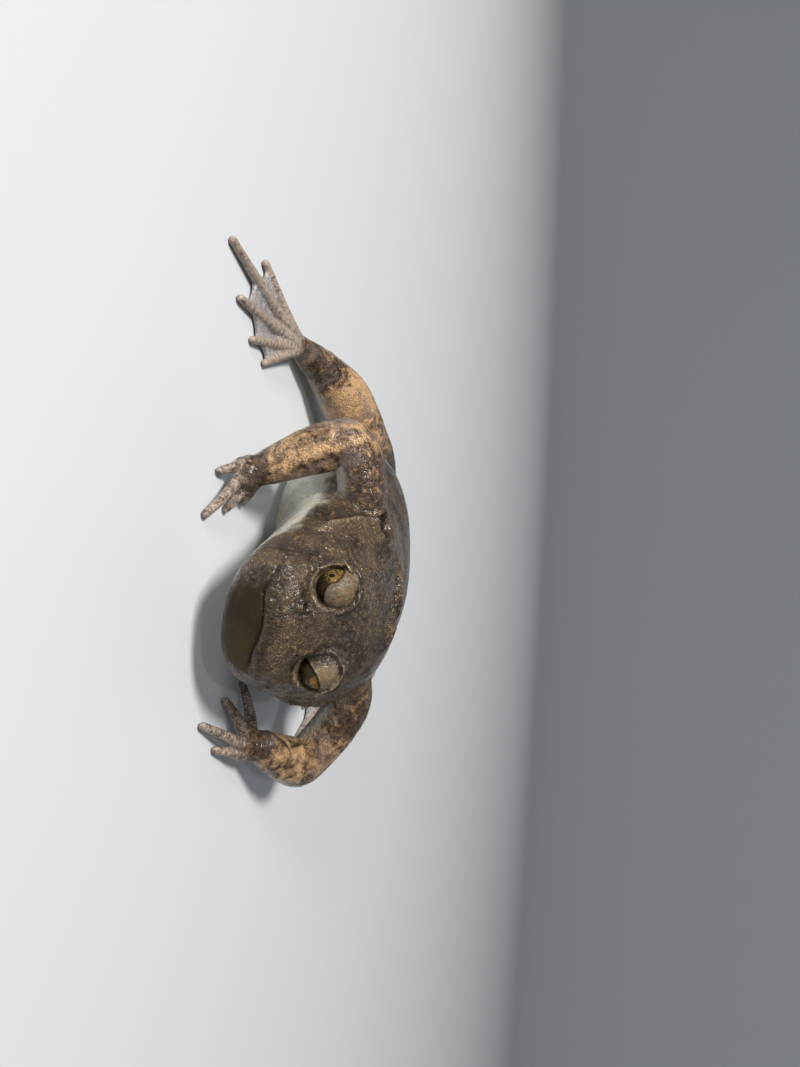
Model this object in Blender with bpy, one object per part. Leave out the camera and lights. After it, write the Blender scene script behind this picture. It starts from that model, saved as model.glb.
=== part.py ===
"""Blunt-headed burrowing frog, life size, propped on its hands with its belly on the ground.

The frog faces -Y, its left side is +X and the ground is z = 0. The origin lies on the flat of
the belly, midway between the snout and the vent. Sizes below are in millimetres and degrees,
and every mesh is scaled to metres when its object is made.
"""
import math

import bmesh
import bpy
import numpy as np
from mathutils import Euler, Matrix, Vector
from mathutils.bvhtree import BVHTree

MILLIMETRE = 0.001
GAP = 0.3
RIGHT = -1
LEFT = 1

# Trunk, straight and level: y, half width, top, bottom
TRUNK_STATIONS = (
    (-33.8, 3.4, 9.8, 5.2),
    (-33.2, 5.6, 11.4, 4.0),
    (-32.0, 7.2, 12.9, 3.2),
    (-30.0, 8.5, 14.6, 2.8),
    (-27.0, 9.9, 16.6, 2.5),
    (-23.0, 11.5, 18.5, 2.2),
    (-18.0, 13.2, 19.6, 1.8),
    (-11.0, 14.8, 19.8, 0.8),
    (-2.0, 17.0, 19.4, -0.5),
    (8.0, 18.2, 18.5, -0.9),
    (17.0, 16.0, 16.6, -0.9),
    (25.0, 12.0, 13.9, -0.5),
    (31.0, 7.4, 11.2, 1.0),
    (34.0, 3.6, 9.2, 3.2),
)
TRUNK_WIDEST = 0.42
TRUNK_POWER = 2.25
TRUNK_SIDES = 64
TRUNK_RINGS = 90

# Carriage of the head: it turns about the neck, and the turn fades out along the trunk
HEAD_PIVOT = (0.0, -14.0, 9.0)
HEAD_YAW = -9.3
HEAD_PITCH = 0.6
HEAD_ROLL = 10.5
HEAD_LIFT = 2.0
TURN_FULL_Y = -19.0
TURN_NONE_Y = 2.0
NECK_Y = -17.6
NECK_YAW = -4.0

# Lower jaw and mouth, in the straight frog
CHIN_CENTRE = (0.0, -28.2, 6.3)
CHIN_RADII = (8.0, 5.8, 3.9)
MOUTH_CENTRE_Y = -26.0
LIP_RADIUS = 0.8
LIP_OFFSET = 0.85
LIP_PROUD = 0.3
MOUTH_SAMPLES = 41
MOUTH_CUT = 0.4
MOUTH_CUT_DEPTH = 1.1

# Line of the mouth: angle round its middle, from the right corner to the left, and height
MOUTH_LINE = ((-57.0, 9.1), (-41.0, 8.7), (-25.0, 8.2), (-5.0, 8.6), (18.0, 8.1), (37.0, 7.9))

# Eyes and nostrils, for the left side
EYE_CENTRE = (5.0, -27.5, 14.4)
EYE_RADIUS = 2.0
SOCKET_RADIUS = 2.25
LID_RADIUS = 2.65
LID_OPEN = (0.5, -0.12, -0.86)
EYE_AXIS = (0.62, -0.76, 0.18)
ORBIT_RADIUS = 2.45
ORBIT_RIM = 0.5
NOSTRIL = (3.0, -31.7, 12.7)
NOSTRIL_AXIS = (0.45, -0.75, 0.5)
NOSTRIL_RADIUS = 0.38
NOSTRIL_DEPTH = 0.9

# Limbs: centre line and radius at each point, in the posed frog
ARM_POINTS = {
    RIGHT: ((-9.0, -11.5, 15.0), (-14.5, -11.6, 16.3), (-20.1, -11.2, 14.8), (-19.7, -12.8, 10.6),
            (-17.9, -15.6, 5.4)),
    LEFT: ((9.0, -11.5, 12.6), (16.6, -11.8, 13.5), (24.8, -13.4, 7.6), (23.2, -16.4, 6.0),
           (20.0, -19.6, 4.2)),
}
ARM_RADII = (4.0, 3.3, 3.2, 3.2, 2.4)
ARM_ELBOW = 2
LEG_POINTS = {
    RIGHT: ((-7.0, 25.5, 6.4), (-12.6, 24.0, 6.6), (-18.0, 21.5, 6.8), (-23.8, 17.4, 5.4),
            (-28.6, 12.6, 3.4)),
    LEFT: ((7.0, 25.5, 6.4), (14.5, 18.5, 6.8), (20.8, 10.8, 7.2), (24.6, 20.0, 5.5),
           (26.6, 29.4, 3.4)),
}
LEG_RADII = (6.0, 5.8, 4.5, 4.3, 2.9)
LEG_KNEE = 2

# Hands: palm centre, then root and tip of fingers one to four
PALM_CENTRE = {RIGHT: (-17.0, -17.0, 3.0), LEFT: (18.3, -21.6, 2.8)}
PALM_RADII = (2.5, 2.2, 1.6)
FINGERS = {
    RIGHT: (((-15.6, -15.8, 2.8), (-12.6, -14.4, 0.7)), ((-15.9, -17.4, 2.7), (-13.0, -19.4, 0.7)),
            ((-16.9, -18.4, 2.4), (-13.6, -25.2, 0.6)), ((-18.5, -17.5, 2.5), (-18.0, -20.6, 0.6))),
    LEFT: (((16.6, -20.2, 2.7), (11.4, -18.2, 0.9)), ((16.4, -22.0, 2.4), (11.7, -23.2, 0.7)),
           ((17.4, -23.4, 2.3), (11.9, -29.8, 0.6)), ((19.2, -23.0, 2.3), (16.8, -26.8, 0.6))),
}
FINGER_BASE_RADIUS = 0.85
FINGER_TIP_RADIUS = 0.5

# Feet: where the toes fan out, heading of the fourth toe, spread of the fan
FOOT_BASE = {RIGHT: (-31.8, 7.4, 1.8), LEFT: (28.6, 22.8, 1.8)}
FOOT_HEADING = {RIGHT: 236.0, LEFT: 289.0}
FOOT_SPREAD = {RIGHT: 0.88, LEFT: 0.75}
TOE_LENGTHS = (11.5, 15.5, 20.0, 24.5, 15.0)
TOE_FAN = (48.0, 32.0, 16.0, 0.0, -19.0)
TOE_BASE_RADIUS = 0.85
TOE_TIP_RADIUS = 0.5
WEB_REACH = ((0.94, 0.88), (0.92, 0.82), (0.9, 0.7), (0.64, 0.94))
WEB_NOTCH = 0.88
WEB_THICKNESS = 0.7
WEB_HEIGHT = 0.55
TARSUS_RADII = (2.8, 2.4, 1.8)
SPADE_RADIUS = 0.9

# Fineness of the faceted solids
TRUNK_VOXEL = 0.45
HAND_VOXEL = 0.2
TRUNK_SMOOTHING = 6
HAND_SMOOTHING = 2
HEAD_FACES = 3600
TORSO_FACES = 1700
HAND_FACES = 850
FOOT_FACES = 1200


def clear_scene():
    for item in list(bpy.data.objects):
        bpy.data.objects.remove(item, do_unlink=True)


def skin_material(name, colour, roughness=0.38):
    material = bpy.data.materials.new(name)
    material.use_nodes = True
    shader = material.node_tree.nodes["Principled BSDF"]
    shader.inputs["Base Color"].default_value = (*colour, 1.0)
    shader.inputs["Roughness"].default_value = roughness
    shader.inputs["Metallic"].default_value = 0.0
    return material


def smoothstep(value):
    value = min(1.0, max(0.0, value))
    return value * value * (3.0 - 2.0 * value)


def head_turn(share=1.0):
    """The turn of the head, or a share of it."""
    yaw = Matrix.Rotation(math.radians(HEAD_YAW * share), 3, "Z")
    pitch = Matrix.Rotation(math.radians(HEAD_PITCH * share), 3, "X")
    roll = Matrix.Rotation(math.radians(HEAD_ROLL * share), 3, "Y")
    return yaw @ pitch @ roll


def posed(point):
    """Carries a point of the straight frog to its place in the turned and lifted head."""
    share = smoothstep((TURN_NONE_Y - point[1]) / (TURN_NONE_Y - TURN_FULL_Y))
    pivot = Vector(HEAD_PIVOT)
    lift = Vector((0.0, 0.0, HEAD_LIFT * share))
    return head_turn(share) @ (Vector(point) - pivot) + pivot + lift


def head_direction(vector):
    """Turns a direction with the head."""
    return (head_turn() @ Vector(vector)).normalized()


def mirrored(vector, side):
    return Vector((vector[0] * side, vector[1], vector[2]))


def curve_rows(rows, count):
    """Reads count evenly spaced rows from a smooth curve through the given rows."""
    rows = np.array(rows, float)
    padded = np.vstack((2 * rows[0] - rows[1], rows, 2 * rows[-1] - rows[-2]))
    result = []
    for position in np.linspace(0.0, len(rows) - 1.0, count):
        start = min(int(position), len(rows) - 2)
        t = position - start
        before, first, second, after = padded[start:start + 4]
        result.append(0.5 * (2 * first + (second - before) * t
                             + (2 * before - 5 * first + 4 * second - after) * t * t
                             + (3 * first - before - 3 * second + after) * t ** 3))
    return np.array(result)


def rings_to_mesh(rings):
    """Joins equal rings of points into one closed tube with flat ends."""
    mesh = bmesh.new()
    rows = [[mesh.verts.new(point) for point in ring] for ring in rings]
    for near, far in zip(rows, rows[1:]):
        for index in range(len(near)):
            following = (index + 1) % len(near)
            mesh.faces.new((near[index], near[following], far[following], far[index]))
    mesh.faces.new(list(reversed(rows[0])))
    mesh.faces.new(rows[-1])
    bmesh.ops.recalc_face_normals(mesh, faces=mesh.faces)
    return mesh


def tube(points, radii, sides=14, samples=16):
    """A round limb through the points, with a hemisphere at each end."""
    rows = curve_rows([(*point, radius) for point, radius in zip(points, radii)], samples)
    centres = [Vector(row[:3]) for row in rows]
    sizes = [float(row[3]) for row in rows]
    start_way = (centres[0] - centres[1]).normalized()
    end_way = (centres[-1] - centres[-2]).normalized()
    caps = (85.0, 65.0, 45.0, 22.0)
    first = [(centres[0] + start_way * sizes[0] * math.sin(math.radians(a)),
              sizes[0] * math.cos(math.radians(a))) for a in caps]
    last = [(centres[-1] + end_way * sizes[-1] * math.sin(math.radians(a)),
             sizes[-1] * math.cos(math.radians(a))) for a in reversed(caps)]
    stations = first + list(zip(centres, sizes)) + last
    across = Vector((0.0, 0.0, 1.0)).cross(start_way)
    rings = []
    for index, (centre, size) in enumerate(stations):
        behind = stations[max(index - 1, 0)][0]
        ahead = stations[min(index + 1, len(stations) - 1)][0]
        way = (ahead - behind).normalized()
        across = (across - way * across.dot(way)).normalized()
        up = way.cross(across)
        ring = []
        for step in range(sides):
            angle = 2.0 * math.pi * step / sides
            ring.append(centre + (across * math.cos(angle) + up * math.sin(angle)) * size)
        rings.append(ring)
    return rings_to_mesh(rings)


def ellipsoid(centre, radii, segments=32, turn=None):
    mesh = bmesh.new()
    shape = Matrix.Diagonal((*radii, 1.0))
    if turn is not None:
        shape = turn.to_4x4() @ shape
    bmesh.ops.create_uvsphere(mesh, u_segments=segments, v_segments=segments // 2, radius=1.0,
                              matrix=Matrix.Translation(centre) @ shape)
    return mesh


def ring_torus(centre, axis, major, minor, sides=40):
    """A closed ring of round section about an axis."""
    mesh = bmesh.new()
    turn = Vector(axis).to_track_quat("Z", "Y").to_matrix()
    rows = []
    for step in range(sides):
        angle = 2.0 * math.pi * step / sides
        out = turn @ Vector((math.cos(angle), math.sin(angle), 0.0))
        up = turn @ Vector((0.0, 0.0, 1.0))
        row = []
        for part in range(10):
            lean = 2.0 * math.pi * part / 10
            place = centre + out * (major + minor * math.cos(lean)) + up * minor * math.sin(lean)
            row.append(mesh.verts.new(place))
        rows.append(row)
    for near, far in zip(rows, rows[1:] + rows[:1]):
        for index in range(10):
            following = (index + 1) % 10
            mesh.faces.new((near[index], near[following], far[following], far[index]))
    bmesh.ops.recalc_face_normals(mesh, faces=mesh.faces)
    return mesh


def place(mesh, name):
    """Puts a bmesh into the scene as an object, still in millimetres."""
    data = bpy.data.meshes.new(name)
    mesh.to_mesh(data)
    mesh.free()
    item = bpy.data.objects.new(name, data)
    bpy.context.collection.objects.link(item)
    return item


def merged(meshes):
    """Gathers several closed shells in one bmesh."""
    whole = bmesh.new()
    for mesh in meshes:
        data = bpy.data.meshes.new("shell")
        mesh.to_mesh(data)
        mesh.free()
        whole.from_mesh(data)
        bpy.data.meshes.remove(data)
    return whole


def bake(item):
    """Applies the modifiers of an object."""
    graph = bpy.context.evaluated_depsgraph_get()
    data = bpy.data.meshes.new_from_object(item.evaluated_get(graph), depsgraph=graph)
    old = item.data
    item.modifiers.clear()
    item.data = data
    bpy.data.meshes.remove(old)


def largest_shell(item):
    """Keeps only the largest closed surface of an object."""
    mesh = bmesh.new()
    mesh.from_mesh(item.data)
    mesh.faces.ensure_lookup_table()
    unseen = set(mesh.faces)
    shells = []
    while unseen:
        stack = [unseen.pop()]
        shell = set(stack)
        while stack:
            for edge in stack.pop().edges:
                for face in edge.link_faces:
                    if face in unseen:
                        unseen.remove(face)
                        shell.add(face)
                        stack.append(face)
        shells.append(shell)
    keep = max(shells, key=lambda shell: sum(face.calc_area() for face in shell))
    bmesh.ops.delete(mesh, geom=[face for face in mesh.faces if face not in keep], context="FACES")
    bmesh.ops.triangulate(mesh, faces=mesh.faces)
    mesh.to_mesh(item.data)
    mesh.free()


def fused(meshes, name, voxel, smoothing):
    """Melts overlapping shells into one smooth closed surface."""
    item = place(merged(meshes), name)
    remesh = item.modifiers.new("melt", "REMESH")
    remesh.mode = "VOXEL"
    remesh.voxel_size = voxel
    smooth = item.modifiers.new("smooth", "SMOOTH")
    smooth.factor = 0.5
    smooth.iterations = smoothing
    bake(item)
    return item


def thinned(item, faces):
    """Brings an object down to about the given number of triangles."""
    thin = item.modifiers.new("thin", "DECIMATE")
    item.data.calc_loop_triangles()
    thin.ratio = min(1.0, faces / len(item.data.loop_triangles))
    thin.use_collapse_triangulate = True
    bake(item)


def cut_flat(item, point, normal):
    """Cuts away what lies on the normal's side of a plane, and closes the cut."""
    mesh = bmesh.new()
    mesh.from_mesh(item.data)
    everything = mesh.verts[:] + mesh.edges[:] + mesh.faces[:]
    bmesh.ops.bisect_plane(mesh, geom=everything, dist=1e-5, plane_co=point, plane_no=normal,
                           clear_outer=True)
    rims = [edge for edge in mesh.edges if edge.is_boundary]
    if rims:
        bmesh.ops.holes_fill(mesh, edges=rims, sides=0)
    bmesh.ops.triangulate(mesh, faces=mesh.faces)
    bmesh.ops.recalc_face_normals(mesh, faces=mesh.faces)
    mesh.to_mesh(item.data)
    mesh.free()


def subtract(item, cutter):
    """Takes a closed cutter out of an object, then removes the cutter."""
    cut = item.modifiers.new("cut", "BOOLEAN")
    cut.operation = "DIFFERENCE"
    cut.object = cutter
    bake(item)
    bpy.data.objects.remove(cutter, do_unlink=True)
    largest_shell(item)


def swollen(item, amount=GAP):
    """A copy of an object grown outwards by the gap, as a cutter."""
    data = item.data.copy()
    copy = bpy.data.objects.new(item.name + "_swollen", data)
    bpy.context.collection.objects.link(copy)
    mesh = bmesh.new()
    mesh.from_mesh(data)
    mesh.normal_update()
    for vertex in mesh.verts:
        vertex.co += vertex.normal * amount
    mesh.to_mesh(data)
    mesh.free()
    return copy


def trunk_rings():
    """Rings of the trunk, rounded squares that follow the stations, in the posed frog."""
    rings = []
    for y, width, top, bottom in curve_rows(TRUNK_STATIONS, TRUNK_RINGS):
        middle = bottom + (top - bottom) * TRUNK_WIDEST
        ring = []
        for step in range(TRUNK_SIDES):
            angle = 2.0 * math.pi * step / TRUNK_SIDES
            cosine, sine = math.cos(angle), math.sin(angle)
            across = math.copysign(abs(cosine) ** (2.0 / TRUNK_POWER), cosine)
            rise = math.copysign(abs(sine) ** (2.0 / TRUNK_POWER), sine)
            height = top - middle if sine > 0.0 else middle - bottom
            ring.append(posed((width * across, y, middle + height * rise)))
        rings.append(ring)
    return rings


def mouth_point(surfaces, share, out=0.0, rise=0.0):
    """A point at the mouth line, share -1 at the right corner and 1 at the left.

    It is found on the surface of the head, on a line out of the middle of the mouth.
    """
    line = curve_rows(MOUTH_LINE, MOUTH_SAMPLES)
    right_end, left_end = line[0][0], line[-1][0]
    degrees = right_end + (left_end - right_end) * (share + 1.0) / 2.0
    height = float(np.interp(degrees, line[:, 0], line[:, 1]))
    angle = math.radians(degrees)
    outward = Vector((math.sin(angle), -math.cos(angle), 0.0))
    middle = Vector((0.0, MOUTH_CENTRE_Y, height + rise))
    start, way = posed(middle + outward * 20.0), -head_direction(outward)
    hits = [surface.ray_cast(start, way) for surface in surfaces]
    reach = min(hit[3] for hit in hits if hit[0] is not None)
    return start + way * (reach - out)


def lip(surfaces, rise):
    shares = np.linspace(-1.0, 1.0, 15)
    points = [mouth_point(surfaces, share, LIP_PROUD - LIP_RADIUS, rise) for share in shares]
    radii = [LIP_RADIUS * (1.0 - 0.3 * abs(share) ** 3) for share in shares]
    return tube(points, radii, sides=12, samples=40)


def mouth_cutter(surfaces):
    """A thin curved sheet that cuts the line of the mouth."""
    rings = []
    for share in np.linspace(-1.03, 1.03, 31):
        depth = MOUTH_CUT_DEPTH * (1.0 - 0.6 * abs(share) ** 4)
        corners = ((1.5, 0.5), (1.5, -0.5), (-depth, -0.5), (-depth, 0.5))
        rings.append([mouth_point(surfaces, share, out, MOUTH_CUT * rise)
                      for out, rise in corners])
    return rings_to_mesh(rings)


def eye_place(side):
    return posed(mirrored(EYE_CENTRE, side))


def lid_dome(side):
    """The fleshy upper lid, part of a ball that covers the eye's upper and inner half."""
    centre = eye_place(side)
    opening = head_direction(mirrored(LID_OPEN, side))
    mesh = ellipsoid(centre, (LID_RADIUS,) * 3, 48)
    bmesh.ops.bisect_plane(mesh, geom=mesh.verts[:] + mesh.edges[:] + mesh.faces[:], dist=1e-5,
                           plane_co=centre + opening * 0.1, plane_no=opening, clear_outer=True)
    rims = [edge for edge in mesh.edges if edge.is_boundary]
    bmesh.ops.holes_fill(mesh, edges=rims, sides=0)
    bmesh.ops.recalc_face_normals(mesh, faces=mesh.faces)
    return mesh


def orbit_rim(side):
    """The ring of skin round the eye."""
    axis = head_direction(mirrored(EYE_AXIS, side))
    return ring_torus(eye_place(side) + axis * 0.35, axis, ORBIT_RADIUS, ORBIT_RIM)


def eye_opening(side):
    """What is cut between the lid's margin and the lower rim, so that the eye shows."""
    centre = eye_place(side)
    axis = head_direction(mirrored(EYE_AXIS, side))
    opening = head_direction(mirrored(LID_OPEN, side))
    turn = axis.to_track_quat("Z", "Y").to_matrix().to_4x4()
    mesh = bmesh.new()
    bmesh.ops.create_cone(mesh, cap_ends=True, segments=32, radius1=SOCKET_RADIUS * 0.9,
                          radius2=SOCKET_RADIUS * 1.15, depth=4.0,
                          matrix=Matrix.Translation(centre + axis * 2.0) @ turn)
    bmesh.ops.bisect_plane(mesh, geom=mesh.verts[:] + mesh.edges[:] + mesh.faces[:], dist=1e-5,
                           plane_co=centre + opening * 0.12, plane_no=-opening, clear_outer=True)
    rims = [edge for edge in mesh.edges if edge.is_boundary]
    bmesh.ops.holes_fill(mesh, edges=rims, sides=0)
    bmesh.ops.recalc_face_normals(mesh, faces=mesh.faces)
    return place(mesh, "eye_opening")


def nostril_cutter(side):
    axis = head_direction(mirrored(NOSTRIL_AXIS, side))
    turn = axis.to_track_quat("Z", "Y").to_matrix().to_4x4()
    mesh = bmesh.new()
    bmesh.ops.create_cone(mesh, cap_ends=True, segments=12, radius1=NOSTRIL_RADIUS * 0.7,
                          radius2=NOSTRIL_RADIUS, depth=NOSTRIL_DEPTH * 3.0,
                          matrix=Matrix.Translation(posed(mirrored(NOSTRIL, side))
                                                    + axis * NOSTRIL_DEPTH * 0.5) @ turn)
    return place(mesh, "nostril_cutter")


def build_trunk():
    """Head and torso: one melted form, parted across the neck."""
    shells = [rings_to_mesh(trunk_rings()),
              ellipsoid(posed(CHIN_CENTRE), CHIN_RADII, 48, head_turn())]
    surfaces = [BVHTree.FromBMesh(shell) for shell in shells]
    shells += [lip(surfaces, LIP_OFFSET), lip(surfaces, -LIP_OFFSET)]
    mouth = place(mouth_cutter(surfaces), "mouth_cutter")
    for side in (RIGHT, LEFT):
        shells += [lid_dome(side), orbit_rim(side)]
    head = fused(shells, "head", TRUNK_VOXEL, TRUNK_SMOOTHING)
    torso = bpy.data.objects.new("torso", head.data.copy())
    bpy.context.collection.objects.link(torso)
    forward = Euler((0.0, 0.0, math.radians(NECK_YAW))).to_matrix() @ Vector((0.0, -1.0, 0.0))
    neck = Vector((0.0, NECK_Y, 0.0))
    cut_flat(head, neck + forward * GAP / 2.0, -forward)
    cut_flat(torso, neck - forward * GAP / 2.0, forward)
    thinned(head, HEAD_FACES)
    thinned(torso, TORSO_FACES)
    for item in (head, torso):
        cut_flat(item, Vector((0.0, 0.0, 0.0)), Vector((0.0, 0.0, -1.0)))
        largest_shell(item)
    subtract(head, mouth)
    return head, torso


def build_eyes(head):
    """Both eyeballs, and the sockets that hold them."""
    eyes = []
    for side, name in ((RIGHT, "eye_right"), (LEFT, "eye_left")):
        eyes.append(place(ellipsoid(eye_place(side), (EYE_RADIUS,) * 3, 18), name))
        subtract(head, place(ellipsoid(eye_place(side), (SOCKET_RADIUS,) * 3, 18), "socket"))
        subtract(head, eye_opening(side))
        subtract(head, nostril_cutter(side))
    return eyes


def build_arm(side, word, torso, head):
    """Upper arm and forearm of one side, each fitted to what it grows from."""
    points, elbow = ARM_POINTS[side], ARM_ELBOW
    bend = elbow + 1
    upper = place(tube(points[:bend], ARM_RADII[:bend]), "upper_arm_" + word)
    fore = place(tube(points[elbow:], ARM_RADII[elbow:]), "forearm_" + word)
    subtract(upper, swollen(torso))
    subtract(upper, swollen(head))
    subtract(fore, swollen(upper))
    subtract(fore, swollen(torso))
    return upper, fore


def build_hand(side, word, fore):
    """Palm with four fingers, its underside flat on the ground."""
    wrist = ARM_POINTS[side][-1]
    palm = PALM_CENTRE[side]
    shells = [tube((wrist, palm), (ARM_RADII[-1], PALM_RADII[2] * 1.1), samples=8),
              ellipsoid(Vector(palm), PALM_RADII, 24)]
    for root, tip in FINGERS[side]:
        middle = Vector(root).lerp(Vector(tip), 0.5) + Vector((0.0, 0.0, 0.25))
        waist = (FINGER_BASE_RADIUS + FINGER_TIP_RADIUS) * 0.45
        shells.append(tube((palm, root, middle, tip),
                           (1.2, FINGER_BASE_RADIUS, waist, FINGER_TIP_RADIUS), 12, 20))
        shells.append(ellipsoid(Vector(tip), (FINGER_TIP_RADIUS * 1.15,) * 3, 12))
    hand = fused(shells, "hand_" + word, HAND_VOXEL, HAND_SMOOTHING)
    thinned(hand, HAND_FACES)
    cut_flat(hand, Vector((0.0, 0.0, 0.0)), Vector((0.0, 0.0, -1.0)))
    largest_shell(hand)
    subtract(hand, swollen(fore))
    return hand


def build_leg(side, word, torso):
    """Thigh and shank of one side, each fitted to what it grows from."""
    points, knee = LEG_POINTS[side], LEG_KNEE
    bend = knee + 1
    thigh = place(tube(points[:bend], LEG_RADII[:bend]), "thigh_" + word)
    shank = place(tube(points[knee:], LEG_RADII[knee:]), "shank_" + word)
    for item in (thigh, shank):
        cut_flat(item, Vector((0.0, 0.0, 0.0)), Vector((0.0, 0.0, -1.0)))
    subtract(thigh, swollen(torso))
    subtract(shank, swollen(thigh))
    subtract(shank, swollen(torso))
    return thigh, shank


def toe_tip(side, toe):
    """Tip of a toe; the first is on the inner side of the foot."""
    angle = FOOT_HEADING[side] - side * TOE_FAN[toe] * FOOT_SPREAD[side]
    way = Vector((math.cos(math.radians(angle)), math.sin(math.radians(angle)), 0.0))
    base = Vector(FOOT_BASE[side])
    tip = base + way * TOE_LENGTHS[toe]
    return Vector((tip.x, tip.y, TOE_TIP_RADIUS + 0.05))


def web_plate(side):
    """The web between the toes: a thin plate with a hollow edge from toe to toe."""
    base = Vector(FOOT_BASE[side])
    base.z = WEB_HEIGHT
    outline = [base]
    for toe, (near, far) in enumerate(WEB_REACH):
        first = toe_tip(side, toe)
        second = toe_tip(side, toe + 1)
        first.z = second.z = WEB_HEIGHT
        start = base.lerp(first, near)
        end = base.lerp(second, far)
        middle = base.lerp(first.lerp(second, 0.5), WEB_NOTCH * (near + far) / 2.0)
        outline += [start, start.lerp(middle, 0.6), middle, end.lerp(middle, 0.6), end]
    mesh = bmesh.new()
    low = [mesh.verts.new(point - Vector((0, 0, WEB_THICKNESS / 2))) for point in outline]
    high = [mesh.verts.new(point + Vector((0, 0, WEB_THICKNESS / 2))) for point in outline]
    for index in range(1, len(outline) - 1):
        mesh.faces.new((low[0], low[index], low[index + 1]))
        mesh.faces.new((high[0], high[index + 1], high[index]))
    for index in range(len(outline)):
        following = (index + 1) % len(outline)
        mesh.faces.new((low[index], high[index], high[following], low[following]))
    bmesh.ops.recalc_face_normals(mesh, faces=mesh.faces)
    return mesh


def build_foot(side, word, shank):
    """Tarsus, five toes and the web, flat on the ground."""
    heel = LEG_POINTS[side][-1]
    base = FOOT_BASE[side]
    middle = Vector(heel).lerp(Vector(base), 0.5)
    shells = [tube((heel, middle, base), TARSUS_RADII, samples=12), web_plate(side)]
    for toe, length in enumerate(TOE_LENGTHS):
        tip = toe_tip(side, toe)
        knuckle = Vector(base).lerp(tip, 0.45)
        knuckle.z = 1.05
        shells.append(tube((base, knuckle, tip), (1.2, TOE_BASE_RADIUS, TOE_TIP_RADIUS), 12, 24))
        shells.append(ellipsoid(tip, (TOE_TIP_RADIUS * 1.15,) * 3, 12))
    spade = Vector(base).lerp(toe_tip(side, 0), 0.22)
    spade.z = SPADE_RADIUS
    shells.append(ellipsoid(spade, (SPADE_RADIUS * 1.3,) * 2 + (SPADE_RADIUS,), 16))
    foot = fused(shells, "foot_" + word, HAND_VOXEL, HAND_SMOOTHING)
    thinned(foot, FOOT_FACES)
    cut_flat(foot, Vector((0.0, 0.0, 0.0)), Vector((0.0, 0.0, -1.0)))
    largest_shell(foot)
    subtract(foot, swollen(shank))
    return foot


def finish(item, material):
    """Scales a piece to metres, shades it smooth and gives it its material."""
    item.data.transform(Matrix.Scale(MILLIMETRE, 4))
    item.data.materials.clear()
    item.data.materials.append(material)
    item.data.shade_smooth()
    item.data.set_sharp_from_angle(angle=math.radians(50.0))


def main():
    clear_scene()
    back_skin = skin_material("back_skin", (0.115, 0.092, 0.07))
    limb_skin = skin_material("limb_skin", (0.15, 0.11, 0.075))
    foot_skin = skin_material("foot_skin", (0.27, 0.24, 0.21))
    eye_surface = skin_material("eye_surface", (0.19, 0.12, 0.03), 0.06)

    head, torso = build_trunk()
    eyes = build_eyes(head)
    limbs = []
    ends = []
    for side, word in ((RIGHT, "right"), (LEFT, "left")):
        upper, fore = build_arm(side, word, torso, head)
        hand = build_hand(side, word, fore)
        thigh, shank = build_leg(side, word, torso)
        foot = build_foot(side, word, shank)
        limbs += [upper, fore, thigh, shank]
        ends += [hand, foot]
    for item in (head, torso):
        finish(item, back_skin)
    for item in limbs:
        finish(item, limb_skin)
    for item in ends:
        finish(item, foot_skin)
    for item in eyes:
        finish(item, eye_surface)


main()
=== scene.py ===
import math

import bmesh
import bpy
import numpy as np
from mathutils import Matrix, Vector


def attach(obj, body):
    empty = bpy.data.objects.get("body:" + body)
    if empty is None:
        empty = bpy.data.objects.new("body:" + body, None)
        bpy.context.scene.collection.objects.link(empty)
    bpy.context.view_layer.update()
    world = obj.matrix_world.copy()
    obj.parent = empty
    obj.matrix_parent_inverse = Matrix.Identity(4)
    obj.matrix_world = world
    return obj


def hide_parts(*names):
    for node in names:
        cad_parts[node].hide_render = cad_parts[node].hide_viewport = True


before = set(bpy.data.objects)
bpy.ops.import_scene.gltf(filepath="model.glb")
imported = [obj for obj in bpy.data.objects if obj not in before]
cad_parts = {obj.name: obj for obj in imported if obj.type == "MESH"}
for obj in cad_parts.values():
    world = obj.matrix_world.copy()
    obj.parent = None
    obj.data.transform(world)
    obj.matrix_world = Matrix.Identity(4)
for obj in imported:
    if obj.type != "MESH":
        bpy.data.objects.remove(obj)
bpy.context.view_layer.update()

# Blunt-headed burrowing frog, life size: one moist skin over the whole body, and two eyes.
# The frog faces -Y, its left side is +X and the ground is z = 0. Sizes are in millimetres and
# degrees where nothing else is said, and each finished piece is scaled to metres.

MILLIMETRE = 0.001
RIGHT = -1
LEFT = 1
SIDES = (RIGHT, LEFT)
UP = Vector((0.0, 0.0, 1.0))

# A distance beyond every form and mark
FAR = 9.0

# Fineness of the skin
SKIN_VOXEL = 0.2

# Trunk, straight and level: y, half width, top, bottom
TRUNK_STATIONS = (
    (-33.8, 3.4, 9.8, 5.2),
    (-33.2, 5.6, 11.4, 4.0),
    (-32.0, 7.2, 12.9, 3.2),
    (-30.0, 8.5, 14.6, 2.8),
    (-27.0, 9.9, 16.6, 2.5),
    (-23.0, 11.5, 18.5, 2.2),
    (-18.0, 13.2, 19.6, 1.8),
    (-11.0, 14.8, 19.8, 0.8),
    (-2.0, 17.0, 19.4, -0.5),
    (8.0, 18.2, 18.5, -0.9),
    (17.0, 16.0, 16.6, -0.9),
    (25.0, 12.0, 13.9, -0.5),
    (31.0, 7.4, 11.2, 1.0),
    (34.0, 3.6, 9.2, 3.2),
)
TRUNK_WIDEST = 0.42
TRUNK_POWER = 2.25
TRUNK_SIDES = 96
TRUNK_RINGS = 160

# Carriage of the head: it turns about the neck, and the turn fades out along the trunk
HEAD_PIVOT = (0.0, -14.0, 9.0)
HEAD_YAW = -9.3
HEAD_PITCH = 0.6
HEAD_ROLL = 10.5
HEAD_LIFT = 2.0
TURN_FULL_Y = -19.0
TURN_NONE_Y = 2.0
STRAIGHTEN_ROUNDS = 14

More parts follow.
